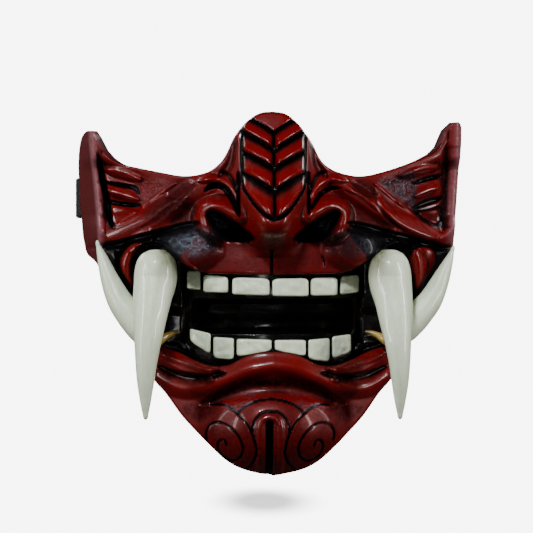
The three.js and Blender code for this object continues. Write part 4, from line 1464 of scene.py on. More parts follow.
@dataclass
class MaskShell:
    """The lacquered shell: a carved front, side walls and a plain hollow side, joined by rims."""

    columns: Array = field(default_factory=lambda: spaced(
        (0, 36, 80), (36, 62, 42), (62, 68, 18), (68, 92, 36), (92, 136, 12)))
    lower_rows: int = 92
    lip_rows: int = 32
    upper_rows: int = 104
    belt: float = 31.0
    belt_rise: float = 8.0
    belt_end: float = 72.0
    belt_bend: float = 16.0
    back_ratio: int = 4
    cavity_passes: int = 10
    cavity_ink: float = 1.2
    cavity_rub: float = 1.1
    cavity_most: float = 0.6
    satin_and_sheen_width: float = 5.0

    def grid(self, columns: Array, ratio: int, above: bool) -> tuple[Array, Array]:
        """Columns and heights of the sheet above or below the line of the mouth.

        The upper sheet has a level belt over the mouth, with even steps below and above it.

        Args:
            columns: Signed columns.
            ratio: How many times coarser the rows are than on the front.
            above: Whether it is the upper sheet.

        Returns:
            The columns and the heights, columns first.
        """
        side = np.abs(columns)
        foot, crown = FORM.bottom(side), FORM.crown(columns)
        seam = mix(foot, crown, SEAM_SHARE)
        is_open = side < MOUTH_COLUMN
        if above:
            low = np.where(is_open, FORM.mouth_top(side), seam)
            outward = smooth((side - self.belt_end) / self.belt_bend)
            belt = mix(self.belt, seam + self.belt_rise, outward)
            stops = ((low, belt, self.lip_rows), (belt, crown, self.upper_rows))
        else:
            high = np.where(is_open, FORM.mouth_bottom(side), seam)
            stops = ((foot, high, self.lower_rows),)
        parts = [start[:, None] + (end - start)[:, None] * np.linspace(0, 1, rows // ratio + 1)
                 for start, end, rows in stops]
        z = np.concatenate([parts[0], *(part[:, 1:] for part in parts[1:])], axis=1)
        return np.broadcast_to(columns[:, None], z.shape), z

    @staticmethod
    def edge_drop(column: Array, z: Array) -> Array:
        """How far the front rolls back towards its edges, as the rounding of a quarter circle."""
        side, small = np.abs(column), SLOPE_STEP * sign_of(column)
        rise = FORM.crown(column + small) - FORM.crown(column - small)
        distance = (FORM.crown(column) - z) / np.hypot(1, rise / (2 * SLOPE_STEP))
        distance = np.minimum(distance, (z - FORM.bottom(side))
                              / np.hypot(1, FORM.bottom.steepness(side)))
        for edge in (FORM.mouth_top, FORM.mouth_bottom):
            away = np.abs(z - edge(side))
            off = away / np.hypot(1, edge.steepness(side))
            near = (side < MOUTH_COLUMN) & (away < LIP_REACH)
            distance = np.minimum(distance, np.where(near, off, np.inf))
        short = EDGE_RADIUS - clamp(distance, 0.0, EDGE_RADIUS)
        return EDGE_RADIUS - np.sqrt(EDGE_RADIUS**2 - short**2)

    def front(self, column: Array, z: Array) -> tuple[Array, Relief]:
        """The front sheet: the carved face, a rounded ridge with a bead, and the side wall.

        The ridge is a quadratic curve from the face over the bead to the wall, and the wall runs
        straight to its rear edge.

        Args:
            column: Signed columns.
            z: Heights.

        Returns:
            The points as (x, depth, z), and the relief with its paint.
        """
        side, sign = np.abs(column), sign_of(column)
        x = FORM.column_x(column, z)
        relief = carve(x, z)
        depth = relief.depth.copy()
        before_x = FORM.column_x(sign * (RIDGE_COLUMN - CORNER), z)
        ridge_x = FORM.column_x(sign * RIDGE_COLUMN, z)
        outer = side > RIDGE_COLUMN - CORNER - TINY
        before = np.where(outer, 0.0, depth)
        ridge = np.zeros(z.shape)
        before[outer] = carve(before_x[outer], z[outer]).depth
        ridge[outer] = carve(ridge_x[outer], z[outer]).depth
        rear_x = sign * FORM.rear_x(column, z)
        share = clamp((side - RIDGE_COLUMN) / WALL_LENGTH, 0.0, 1.0)
        wall_x, wall_depth = mix(ridge_x, rear_x, share), ridge * (1 - share)
        after_x = mix(ridge_x, rear_x, CORNER / WALL_LENGTH)
        after = ridge * (1 - CORNER / WALL_LENGTH)
        bead = RIDGE_BEAD_RISE * smooth((z - RIDGE_BEAD_FOOT) / (RIDGE_BEAD_FULL - RIDGE_BEAD_FOOT))
        t = clamp((side - RIDGE_COLUMN + CORNER) / (2 * CORNER), 0.0, 1.0)
        corner = outer & (side < RIDGE_COLUMN + CORNER)
        bend_x = (1 - t) ** 2 * before_x + 2 * t * (1 - t) * ridge_x + t**2 * after_x
        bend = (1 - t) ** 2 * before + 2 * t * (1 - t) * (ridge + bead) + t**2 * after
        x = np.where(corner, bend_x, np.where(outer, wall_x, x))
        depth = np.where(corner, bend, np.where(outer, wall_depth, depth))
        flat = 1 - smooth((side - RIDGE_COLUMN + 2 * CORNER) / CORNER)
        depth = depth - self.edge_drop(column, z) * flat
        return np.stack([x, depth, z], axis=-1), relief

    def hollow(self, column: Array, z: Array) -> Array:
        """Points of the hollow side, the wall's thickness inside the face and the side walls."""
        side, sign = np.abs(column), sign_of(column)
        inset = WALL * smooth((side - STRETCH_START) / (RIDGE_COLUMN - STRETCH_START))
        x = FORM.column_x(np.minimum(side, RIDGE_COLUMN) * sign, z) - sign * inset
        depth = hollow_depth(x, z, carve(x, z).depth)
        share = clamp((side - RIDGE_COLUMN) / WALL_LENGTH, 0.0, 1.0)
        x = mix(x, sign * (FORM.rear_x(column, z) - WALL), share)
        return np.stack([x, depth * (1 - share), z], axis=-1)

    def cavity(self, depth: Array) -> Array:
        """How far a sheet lies below its own blurred surface, positive in hollows."""
        blurred = depth
        for _ in range(self.cavity_passes):
            for axis in (0, 1):
                pad = np.pad(blurred, [(1, 1) if axis == k else (0, 0) for k in (0, 1)], "edge")
                low, high = (np.take(pad, np.arange(start, start + blurred.shape[axis]), axis)
                             for start in (0, 2))
                blurred = 0.5 * blurred + 0.25 * (low + high)
        return blurred - depth

    def paint(self, column: Array, points: Array, relief: Relief) -> dict[str, Array]:
        """The paint values of a front sheet.

        Args:
            column: Signed columns.
            points: The sheet's points.
            relief: The relief with its paint.

        Returns:
            The named values.
        """
        side = np.abs(column)
        face = 1 - smooth((side - RIDGE_COLUMN + 2) / 4)
        corner = 1 - roll((side - MOUTH_COLUMN) / 4.5)
        cavity = self.cavity(points[..., 1]) * corner
        dark = clamp(cavity * self.cavity_ink - 0.1, 0.0, self.cavity_most)
        worn = clamp(-cavity * self.cavity_rub, 0.0, self.cavity_most)
        ink = np.maximum(relief.ink, dark) * face
        rub = np.maximum(relief.rub, worn) * face
        return {
            "ink": ink,
            "rub": rub * (1 - ink),
            "speckle": relief.speckle * face,
            # Rougher lacquer along the ridge, which also carries the painted highlight
            "satin_and_sheen": roll((side - RIDGE_COLUMN - 1) / self.satin_and_sheen_width) * (1 - ink),
            "wall": smooth((side - RIDGE_COLUMN - 1) / 3),
        }

    def build(self, material: bpy.types.Material) -> bpy.types.Object:
        """Makes the shell's mesh and dresses it."""
        skin = Skin("ink", "rub", "speckle", "satin_and_sheen", "wall", "hollow")
        fine = mirrored(self.columns)
        loops = []
        for columns, ratio in ((fine, 1), (fine[::self.back_ratio], self.back_ratio)):
            sheets = []
            for above in (False, True):
                column, z = self.grid(columns, ratio, above)
                if ratio == 1:
                    points, relief = self.front(column, z)
                    sheets.append(skin.add(points, **self.paint(column, points, relief)))
                else:
                    sheets.append(skin.add(self.hollow(column, z), hollow=1.0))
            lower, upper = sheets
            closed = np.abs(columns) >= MOUTH_COLUMN
            upper[closed, 0] = lower[closed, -1]
            skin.sheet(lower, turned=ratio > 1)
            skin.sheet(upper, turned=ratio > 1)
            whole = np.concatenate([lower, upper[:, 1:]], axis=1)
            ends = np.flatnonzero(~closed)
            first, last = ends[0] - 1, ends[-1] + 1
            mouth = np.concatenate([lower[first:last + 1, -1][::-1], upper[first + 1:last, 0]])
            loops.append((border(whole), mouth))
        for fine_loop, coarse_loop in zip(*loops):
            skin.rim(fine_loop, coarse_loop)
        return skin.build("shell_lacquered", material, "lacquer", ("mask_shell",), sharp=50)


@dataclass
class MouthInsert:
    """The closed black insert behind the lips: gums, the hollow of the mouth and the seats."""

    margin: float = 8.0
    end_margin: float = 4.0
    end_start: float = 60.0
    end_run: float = 8.0
    gap: float = 0.7
    corner_gap: float = 1.3
    corner_start: float = 64.0
    corner_run: float = 3.0
    wall: float = 3.0
    ramp: float = 4.0
    gum: float = 6.0
    jaw_foot: float = -12.0
    jaw_run: float = 8.0
    cavity: float = 20.0
    cavity_top: float = 1.0
    cavity_bottom: float = -17.0
    cavity_half: float = 41.0
    cavity_side_soft: float = 4.0
    cavity_soft: float = 3.0
    seat_start: float = 43.6
    seat_full: float = 46.0
    seat_foot: float = -8.0
    seat_run: float = 5.0
    lip_clear: float = 2.3
    rows: int = 96
    columns: Array = field(default_factory=lambda: spaced((0, 43.6, 60), (43.6, 74, 44)))
    lip_pad: Dome = Dome(49.5, -25, 8, 3.9, 7)

    def lip_distance(self, x: Array, z: Array) -> Array:
        """How far inside the lips places are, and 0 outside them."""
        out = np.linspace(0, MOUTH_COLUMN, 61)
        back = out[:0:-1]
        line = np.concatenate([np.stack([out, FORM.mouth_top(out)], axis=1),
                               np.stack([back, FORM.mouth_bottom(back)], axis=1)])
        side = np.abs(x)
        inside = (side < MOUTH_COLUMN) & (z < FORM.mouth_top(side)) & (z > FORM.mouth_bottom(side))
        distance, _ = path_distance(line, side.ravel(), z.ravel())
        return np.where(inside, distance.reshape(x.shape), 0.0)

    def form(self, x: Array, z: Array) -> Array:
        """Depth of the insert as it would be if the lips didn't limit it."""
        side = np.abs(x)
        middle = mix(ARCH_LOWER, ARCH_UPPER, smooth((z - self.jaw_foot) / self.jaw_run))
        arch = arch_depth(middle, np.minimum(side, self.seat_start))
        wide = smooth((self.cavity_half - side) / self.cavity_side_soft)
        wide = wide * smooth((self.cavity_top - z) / self.cavity_soft)
        wide = wide * smooth((z - self.cavity_bottom) / self.cavity_soft)
        bowl = mix(arch - self.gum, arch_depth(middle, side) - self.cavity, wide)
        seat = mix(TUSK_SEAT, FANG_SEAT, smooth((z - self.seat_foot) / self.seat_run))
        outward = (side - self.seat_start) / (self.seat_full - self.seat_start)
        return mix(bowl, seat, smooth(outward)) + self.lip_pad.height(side, z)

    def front(self, x: Array, z: Array) -> Array:
        """Depth of the front: the form, kept behind the hollow of the shell and behind the lips."""
        free = np.maximum(self.lip_distance(x, z) - self.lip_clear, 0) * self.ramp
        outward = smooth((np.abs(x) - self.corner_start) / self.corner_run)
        gap = mix(self.gap, self.corner_gap, outward)
        shell = hollow_depth(x, z, carve(x, z).depth)
        return np.minimum(self.form(x, z), shell - gap + free)

    def build(self, material: bpy.types.Material) -> bpy.types.Object:
        """Makes the insert's mesh and dresses it."""
        skin = Skin()
        across = mirrored(self.columns)
        side = np.minimum(np.abs(across), MOUTH_COLUMN)
        outward = smooth((np.abs(across) - self.end_start) / self.end_run)
        margin = mix(self.margin, self.end_margin, outward)
        low = (FORM.mouth_bottom(side) - margin)[:, None]
        high = (FORM.mouth_top(side) + margin)[:, None]
        z = low + (high - low) * np.linspace(0, 1, self.rows + 1)
        x = np.broadcast_to(across[:, None], z.shape)
        inner = smooth((self.lip_distance(x, z) - 4) / 4)
        uneven = np.abs(unevenness((x, z), seed=3, wave=20.0, height=1.2))
        depth = self.front(x, z) - uneven * inner
        front = skin.add(np.stack([x, depth, z], axis=-1))
        back = skin.add(np.stack([x, depth - self.wall, z], axis=-1)[::2, ::2])
        skin.sheet(front)
        skin.sheet(back, turned=True)
        skin.rim(border(front), border(back))
        return skin.build("mouth_insert", material, "mouth_black", ("mouth_pocket",), sharp=60)


TOOTH_COLUMNS = ("from", "to", "top_from", "top_to", "foot_from", "foot_to", "back")
UPPER_TEETH = table(TOOTH_COLUMNS, (
    (-43, -36, 15, 14.6, 5.6, 5.2, 1.2),
    (-34.8, -22.3, 13, 11.9, 4, 3.7, 0),
    (-20.4, -1.9, 11.6, 11, 2.9, 2.4, 0),
    (-0.6, 17.5, 10.9, 11.2, 2.1, 2, 0),
    (18.5, 32.2, 11.2, 11.6, 2.2, 2.5, 0),
    (33.5, 43.4, 12, 13, 2.7, 4, 0.8),
))
LOWER_TEETH = table(TOOTH_COLUMNS, (
    (-41.5, -31, -14.2, -16.6, -20.5, -27.4, 0),
    (-29.8, -19.4, -18.2, -18.8, -29, -29.6, 0),
    (-18.2, -0.8, -19, -19.5, -28.4, -24.8, 0),
    (0.7, 16.3, -19.6, -19.6, -24.8, -28, 0),
    (17.4, 28.4, -19.6, -18.8, -29.4, -31, 0),
    (29.5, 39.3, -18.2, -17, -29.6, -25.8, 0),
))
TOOTH_FACE = table(("share", "drop"), (
    (0, 0),
    (0.45, 0.03),
    (0.72, 0.15),
    (0.86, 0.42),
    (0.94, 0.85),
    (0.985, 1.5),
    (1, 2.2),
))


@dataclass
class ToothRow:
    """The teeth of one jaw: rounded blocks along the dental arch, each with its own corners."""

    name: str
    rows: dict[str, Array]
    middle: float
    gum_above: bool
    gum_power: float = 5.5
    bite_power: float = 10.0
    sides: int = 72
    first_angle: float = 0.01
    body_rings: int = 5
    face_rings: int = 19
    crowding: float = 1.8
    gum: float = 6.0
    wear: float = 0.25

    def outline(self) -> tuple[Array, Array]:
        """The outline |u| to a power + |v| to a power = 1, squarer at the biting edge."""
        angle = around(self.sides) + self.first_angle
        to_gum = np.sin(angle) > 0 if self.gum_above else np.sin(angle) < 0
        return rounded(angle, np.where(to_gum, self.gum_power, self.bite_power))

    def profile(self) -> tuple[Array, Array]:
        """The share of the outline and the drop of each ring, from the back to the face."""
        rim = TOOTH_FACE["drop"][-1]
        body = np.linspace(self.gum - GAP, rim, self.body_rings, endpoint=False)
        face = 1 - np.linspace(0, 1, self.face_rings, endpoint=False) ** self.crowding
        drop = np.concatenate([body, curve(TOOTH_FACE, "share", "drop")(face)])
        return np.concatenate([np.ones(self.body_rings), face])[:, None], drop[:, None]

    def tooth(self, number: int, material: bpy.types.Material) -> bpy.types.Object:
        """Makes one tooth: its outline stretched between four corners, dropping towards it.

        Args:
            number: Its place in the row, from 0.
            material: Its finish.

        Returns:
            The object.
        """
        row = {name: column[number] for name, column in self.rows.items()}
        share, drop = self.profile()
        u, v = (part * share for part in self.outline())
        middle, half = (row["from"] + row["to"]) / 2, (row["to"] - row["from"]) / 2
        x = middle + half * u
        top = mix(row["top_from"], row["top_to"], (u + 1) / 2)
        foot = mix(row["foot_from"], row["foot_to"], (u + 1) / 2)
        z = mix(foot, top, (v + 1) / 2)
        back = self.gum - GAP
        depth = arch_depth(self.middle, x) - drop - row["back"] * (drop < back - TINY)
        rough = unevenness((x, z), seed=40 + number, wave=5.0, height=0.5)
        depth = depth + rough * smooth((1 - share) * 5) - self.wear * smooth((1 - share) * 3)
        inward = v if self.gum_above else -v
        skin = Skin("stain", "amber", "ink")
        rings = skin.add(
            np.stack([x, depth, z], axis=-1),
            stain=0.1 * smooth((share - 0.8) / 0.2) + 0.2 * smooth(inward - 0.35),
            ink=0.85 * smooth((drop - 1.5) / 1.4),
        )
        centres = [[middle, arch_depth(self.middle, middle) - back, z.mean()],
                   [middle, depth[-1].mean(), z.mean()]]
        first, last = skin.add(np.array(centres), ink=np.array([1.0, 0.0]))
        skin.tube(rings, start=int(first), end=int(last))
        node = f"{self.name}_tooth_{number + 1}"
        return skin.build(f"{self.name}_row_tooth_{number + 1}", material, "ivory", (node,))

    def build(self, material: bpy.types.Material) -> list[bpy.types.Object]:
        """Makes all teeth of the row."""
        return [self.tooth(number, material) for number in range(len(self.rows["from"]))]


FANG = table(("x", "depth", "z", "radius"), (
    (57.6, 70.5, 24.6, 4.6),
    (57.7, 70.5, 22.6, 7.6),
    (57.9, 70.6, 19, 9.7),
    (58.3, 71, 14, 10.6),
    (58.8, 71.8, 9, 10.6),
    (60.2, 75.6, 0, 9.5),
    (61.4, 79.7, -10, 8.1),
    (62.3, 82.7, -20, 6.7),
    (63, 83.7, -30, 5.4),
    (63.4, 83.3, -40, 4.2),
    (63.5, 81.9, -50, 2.7),
    (63.5, 80.8, -56, 1.5),
))
FANG_ROOT = (57.6, 70.5, 25.4)
FANG_TIP = (63.5, 80.2, -58.8)
FANG_SEAT_END = 200.0
TUSK = table(("x", "depth", "z", "radius", "shift"), (
    (47.2, 60.6, -16, 1.1, 0),
    (50, 60.9, -16.6, 1.4, 0),
    (53.5, 61.9, -18, 1.8, 0),
    (57, 64, -20, 2.6, 0),
    (60.5, 65.8, -19.2, 5, 0),
    (65, 66, -15.3, 6.8, 0),
    (69.5, 64.8, -10.8, 7, 0.2),
    (73.5, 63.6, -6, 6.8, 0.5),
    (78.2, 61.8, 0.3, 6.1, 0.8),
    (83, 59.6, 10, 4.6, 1.2),
    (87, 57.8, 20, 2.6, 1.5),
    (89.2, 57, 26, 1.1, 1.6),
))
TUSK_ROOT = (46.4, 60.6, -16.0)
TUSK_TIP = (90.0, 56.8, 28.8)
TUSK_TIP_SHIFT = 1.7
TUSK_TIP_DROP = 1.3
TUSK_SEAT_END = 58.0


@dataclass
class Horn:
    """A fang or a tusk: round sections square to a curved axis, closed and rounded at both ends."""

    piece: str
    node: str
    axis: Array
    radius: Array
    root: Array
    tip: Array
    seat: float
    seat_end: float
    stain_start: float = 0.18
    stain_height: float = 0.3
    thinnest: float = 0.4
    stations: int = 150
    sides: int = 64
    cap: int = 7

    def spine(self) -> tuple[Array, Array, Array]:
        """The axis in even steps.

        Returns:
            The centres, the radii and the share of the way from root to tip, with the rings of
            the rounded ends, whose radius goes as the root of 1 - t squared.
        """
        index = np.arange(len(self.radius), dtype=float)
        place = np.linspace(0, len(self.radius) - 1, self.stations)
        centres = np.stack([Curve(index, self.axis[:, k])(place) for k in range(3)], axis=1)
        radius = np.maximum(Curve(index, self.radius)(place), self.thinnest)
        t = np.linspace(0.97, 0, self.cap, endpoint=False)[:, None]
        first, last = centres[0], centres[-1]
        centres = np.concatenate([first + (self.root - first) * t, centres,
                                  last + (self.tip - last) * t[::-1]])
        swell = np.sqrt(1 - t[:, 0] ** 2)
        radius = np.concatenate([radius[0] * swell, radius, radius[-1] * swell[::-1]])
        return centres, radius, np.linspace(0, 1, len(radius))

    def build(self, material: bpy.types.Material) -> bpy.types.Object:
        """Makes the mesh and dresses it."""
        centres, radius, share = self.spine()
        along = unit(np.gradient(centres, axis=0))
        side = unit(np.array([0.0, 1.0, 0.0]) - along * along[:, 1:2])
        up = np.cross(side, along)
        angle = around(self.sides)
        facet = 1 + 0.012 * np.cos(3 * angle + 0.6) + 0.008 * np.cos(5 * angle)
        out = side[:, None] * np.cos(angle)[:, None] + up[:, None] * np.sin(angle)[:, None]
        points = centres[:, None] + out * (radius[:, None] * facet)[..., None]
        places = (points[..., 0], points[..., 1], points[..., 2] * 0.3)
        points = points + out * unevenness(places, seed=17, wave=7.0, height=0.28)[..., None]
        held = np.abs(points[..., 0]) < self.seat_end
        points[..., 1] = np.where(held, np.maximum(points[..., 1], self.seat), points[..., 1])
        skin = Skin("stain", "amber", "ink")
        rings = skin.add(points, **self.stains(points, share))
        first, last = skin.add(np.stack([self.root, self.tip]))
        skin.tube(rings[:, ::-1], start=int(first), end=int(last))
        return skin.build(self.piece, material, "ivory", (self.node,), sharp=75)

    def stains(self, points: Array, share: Array) -> dict[str, Array]:
        """Root tints: darker olive on the inner upper side, black around the very root.

        Args:
            points: The rings' points.
            share: How far each ring is from root to tip.

        Returns:
            The named values.
        """
        inward = -np.sign(points[..., 0]) * (points[..., 0] - points.mean(axis=1)[:, None, 0])
        inward = inward / np.maximum(np.ptp(points[..., 0], axis=1)[:, None] / 2, 0.5)
        root = 1 - smooth((share - self.stain_start) / self.stain_height)
        return {
            "stain": smooth(0.42 + inward * 0.75) * root[:, None] * 0.95,
            "ink": smooth((self.seat + 2.5 - points[..., 1]) / 3) * root[:, None],
        }


@dataclass
class Tusk(Horn):
    """A lower tusk, whose thin bent root is stained amber."""

    def stains(self, points: Array, share: Array) -> dict[str, Array]:
        """Root tints: black at the very root, amber over the thin root and olive past it."""
        values = super().stains(points, share)
        side = np.abs(points[..., 0])
        values["amber"] = 1 - smooth((side - 58.5) / 3)
        values["stain"] = 0.5 * (1 - smooth((side - 60) / 6)) * (1 - values["amber"])
        values["ink"] = 0.9 * (1 - smooth((side - 48) / 3))
        return values


def fang(sign: int) -> Horn:
    """The upper fang of one side, leaning a little to the viewer's left."""
    lean = (-0.3 - 0.6 * sign) * clamp((20 - FANG["z"]) / 40, 0.0, 1.0)
    axis = np.stack([sign * FANG["x"] + lean, FANG["depth"], FANG["z"]], axis=1)
    name, flip = side_name(sign), np.array([sign, 1, 1])
    root, tip = np.array(FANG_ROOT) * flip, np.array(FANG_TIP) * flip + (lean[-1], 0, 0)
    return Horn(f"fang_{name}", f"upper_fang_{name}", axis, FANG["radius"], root, tip,
                seat=FANG_SEAT + GAP, seat_end=FANG_SEAT_END)


def tusk(sign: int) -> Tusk:
    """The lower tusk of one side, its tip a little to the viewer's right."""
    drop = TUSK_TIP_DROP * TUSK["shift"] * sign / TUSK_TIP_SHIFT
    axis = np.stack([sign * TUSK["x"] + TUSK["shift"], TUSK["depth"], TUSK["z"] - drop], axis=1)
    name, flip = side_name(sign), np.array([sign, 1, 1])
    root = np.array(TUSK_ROOT) * flip
    tip = np.array(TUSK_TIP) * flip + (TUSK_TIP_SHIFT, 0, -TUSK_TIP_DROP * sign)
    return Tusk(f"tusk_{name}", f"lower_tusk_{name}", axis, TUSK["radius"], root, tip,
                seat=TUSK_SEAT + GAP, seat_end=TUSK_SEAT_END)


STRAP_PATH = table(("left", "right", "depth"), (
    (87.2, 89.4, 24),
    (90.1, 91.6, 12),
    (93, 92.8, 0),
    (99.4, 95.4, -8),
    (102.1, 98.4, -20),
    (101.2, 99.2, -44),
    (90, 89, -70),
    (66, 66, -88),
    (34, 34, -96),
    (0, 0, -98),
))


STRAP_MIDDLE = 53.5
STRAP_THICK = 2.0


@dataclass
class HeadStrap:
    """The elastic band from the right side wall round the back of the head to the left one."""

    width: float = 21.0
    stations: int = 900
    section: int = 28
    rib: float = 1.5
    rib_height: float = 0.09

    def line(self) -> tuple[Array, Array]:
        """The band's middle line in even steps.

        It is a centripetal spline through the points of the path: on each stretch a cubic whose
        slopes weigh the neighbouring stretches by the root of their lengths.

        Returns:
            The points as (x, depth), and the length along the line.
        """
        right = np.stack([STRAP_PATH["right"], STRAP_PATH["depth"]], axis=1)
        left = np.stack([-STRAP_PATH["left"], STRAP_PATH["depth"]], axis=1)
        corners = np.concatenate([right, left[-2::-1]])
        corners = np.concatenate([2 * corners[:1] - corners[1:2], corners,
                                  2 * corners[-1:] - corners[-2:-1]])
        step = np.sqrt(np.linalg.norm(np.diff(corners, axis=0), axis=1))[:, None]
        p0, p1, p2, p3 = corners[:-3], corners[1:-2], corners[2:-1], corners[3:]
        s0, s1, s2 = step[:-2], step[1:-1], step[2:]
        leave = ((p1 - p0) / s0 - (p2 - p0) / (s0 + s1) + (p2 - p1) / s1) * s1
        arrive = ((p2 - p1) / s1 - (p3 - p1) / (s1 + s2) + (p3 - p2) / s2) * s1
        t = np.linspace(0, 1, 60, endpoint=False)[:, None, None]
        cubic = 2 * p1 - 2 * p2 + leave + arrive
        square = -3 * p1 + 3 * p2 - 2 * leave - arrive
        points = (p1 + leave * t + square * t**2 + cubic * t**3).transpose(1, 0, 2).reshape(-1, 2)
        points = np.concatenate([points, corners[-2:-1]])
        run = np.concatenate([[0], np.cumsum(np.linalg.norm(np.diff(points, axis=0), axis=1))])
        even = np.linspace(0, run[-1], self.stations)
        return np.stack([np.interp(even, run, points[:, k]) for k in (0, 1)], axis=1), even

    def band(self) -> tuple[Array, Array]:
        """The section once round: heights, and levels off the middle, with half-round edges."""
        edge = STRAP_THICK / 2
        rest = self.width / 2 - edge
        turn = np.linspace(-math.pi / 2, math.pi / 2, self.section // 2)
        up, out = np.sin(turn) * edge, np.cos(turn) * edge + rest
        flat = np.linspace(1, -1, 7)[1:-1] * rest
        side = np.full(len(flat), edge)
        return np.concatenate([out, flat, -out, flat[::-1]]), np.concatenate([up, side, -up, -side])

    def build(self, material: bpy.types.Material) -> bpy.types.Object:
        """Makes the band: its section along the line, ribbed where it is flat."""
        line, run = self.line()
        LOG.info("strap length %.0f mm", run[-1])
        along = unit(np.gradient(line, axis=0))
        outward = np.stack([-along[:, 1], along[:, 0]], axis=1)
        height, level = self.band()
        edge = STRAP_THICK / 2
        rib = self.rib_height * (np.abs(np.sin(math.pi * run / self.rib)) - 1)
        level = level * (1 + rib[:, None] / edge * (np.abs(level) > edge * 0.7))
        points = np.empty(level.shape + (3,))
        points[..., :2] = line[:, None] + outward[:, None] * level[..., None]
        points[..., 2] = STRAP_MIDDLE + height
        skin = Skin("run", "across")
        rings = skin.add(points, run=run[:, None], across=height)
        caps = np.column_stack([line[[0, -1]], np.full(2, STRAP_MIDDLE)])
        first, last = skin.add(caps, run=run[[0, -1]])
        skin.tube(rings, start=int(first), end=int(last))
        piece = skin.build("strap_elastic", material, "elastic", ("head_strap",), sharp=70)
        self.lay_weave(piece.data)
        return piece

    @staticmethod
    def lay_weave(mesh: bpy.types.Mesh) -> None:
        """Makes the UV map from the length along the band and the place across it."""
        values = []
        for name in ("run", "across"):
            value = np.zeros(len(mesh.vertices), np.float32)
            mesh.attributes[name].data.foreach_get("value", value)
            values.append(value)
        corner = np.zeros(len(mesh.loops), np.int32)
        mesh.loops.foreach_get("vertex_index", corner)
        layer = mesh.uv_layers.new(name="weave")
        layer.data.foreach_set("uv", np.stack(values, axis=1)[corner].ravel())


PLATE_PROFILE = table(("share", "level"), (
    (0.96, 1),
    (1, 0.86),
    (1, -0.4),
    (0.985, -0.72),
    (0.93, -0.92),
    (0.8, -1),
    (0.4, -1),
))


@dataclass
class StrapPlate:
    """A plate that holds a strap end against the side wall, with two rivets flush in its face."""

    sign: int
    thick: float = 2.5
    length: float = 16.0
    high: float = 16.0
    depth: float = 14.0
    power: float = 7.0
    sides: int = 48
    rivet: float = 2.1
    rivet_place: float = 4.2
    rivet_foot: float = 0.28
    rivet_edge: float = 0.23
    rivet_rise: float = 0.55
    rivet_middle: float = 0.08

    def place(self) -> tuple[Array, Array, Array]:
        """Where the plate is.

        Returns:
            Its centre as (x, depth), its direction forwards along the strap, and outwards.
        """
        start, ahead = STRAP_PATH[side_name(self.sign)][:2]
        run = STRAP_PATH["depth"][0] - STRAP_PATH["depth"][1]
        turn = math.atan2(ahead - start, run)
        offset = STRAP_THICK / 2 + GAP + self.thick / 2
        x = mix(start, ahead, (STRAP_PATH["depth"][0] - self.depth) / run)
        x -= offset * math.cos(turn)
        centre = np.array([self.sign * x, self.depth - offset * math.sin(turn)])
        out = np.array([self.sign * math.cos(turn), math.sin(turn)])
        forward = np.array([-self.sign * math.sin(turn), math.cos(turn)])
        return centre, forward, out

    def body(self, skin: Skin, outline: tuple[Array, Array], share: Array, level: Array,
             rise: float, half: tuple[float, float]) -> None:
        """Adds a body of rings in the shape of an outline, closed at both ends.

        Args:
            skin: What the body is added to.
            outline: The outline's reach along the strap and upwards, each up to 1.
            share: The size of each ring.
            level: How far outwards each ring lies from the plate's middle.
            rise: How high the rings' centre lies over the strap's middle.
            half: Half the length and half the height of a ring of size 1.
        """
        centre, forward, out = self.place()
        run = half[0] * share[:, None] * outline[0]
        points = np.empty(run.shape + (3,))
        points[..., :2] = centre + forward * run[..., None] + out * level[:, None, None]
        points[..., 2] = STRAP_MIDDLE + rise + half[1] * share[:, None] * outline[1]
        rings = skin.add(points)
        first, last = skin.add(points[[0, -1]].mean(axis=1))
        rings = rings[:, ::-1] if self.sign < 0 else rings
        skin.tube(rings, start=int(first), end=int(last))

    def build(self, material: bpy.types.Material) -> bpy.types.Object:
        """Makes the plate as a rounded square with its inner face bevelled, and the rivets."""
        half = self.thick / 2
        angle = around(self.sides)
        skin = Skin()
        self.body(skin, rounded(angle, self.power), PLATE_PROFILE["share"],
                  PLATE_PROFILE["level"] * half, 0.0, (self.length / 2, self.high / 2))
        circle = (np.cos(angle[::2]), np.sin(angle[::2]))
        t = np.linspace(0, math.pi / 2, 8)
        share = np.concatenate([[1], np.cos(t[:-1]), [self.rivet_middle]])
        domed = np.maximum(self.rivet_edge - self.rivet_rise * np.sin(t), 0)
        level = np.concatenate([[self.rivet_foot], domed]) - half
        for rise in (-self.rivet_place, self.rivet_place):
            self.body(skin, circle, share, level, rise, (self.rivet, self.rivet))
        name = side_name(self.sign)
        return skin.build(f"strap_plate_{name}", material, "anchor_plate",
                          (f"strap_anchor_{name}",), sharp=40)


# Camera, floor and lights

WHITE = (1.0, 1.0, 1.0)


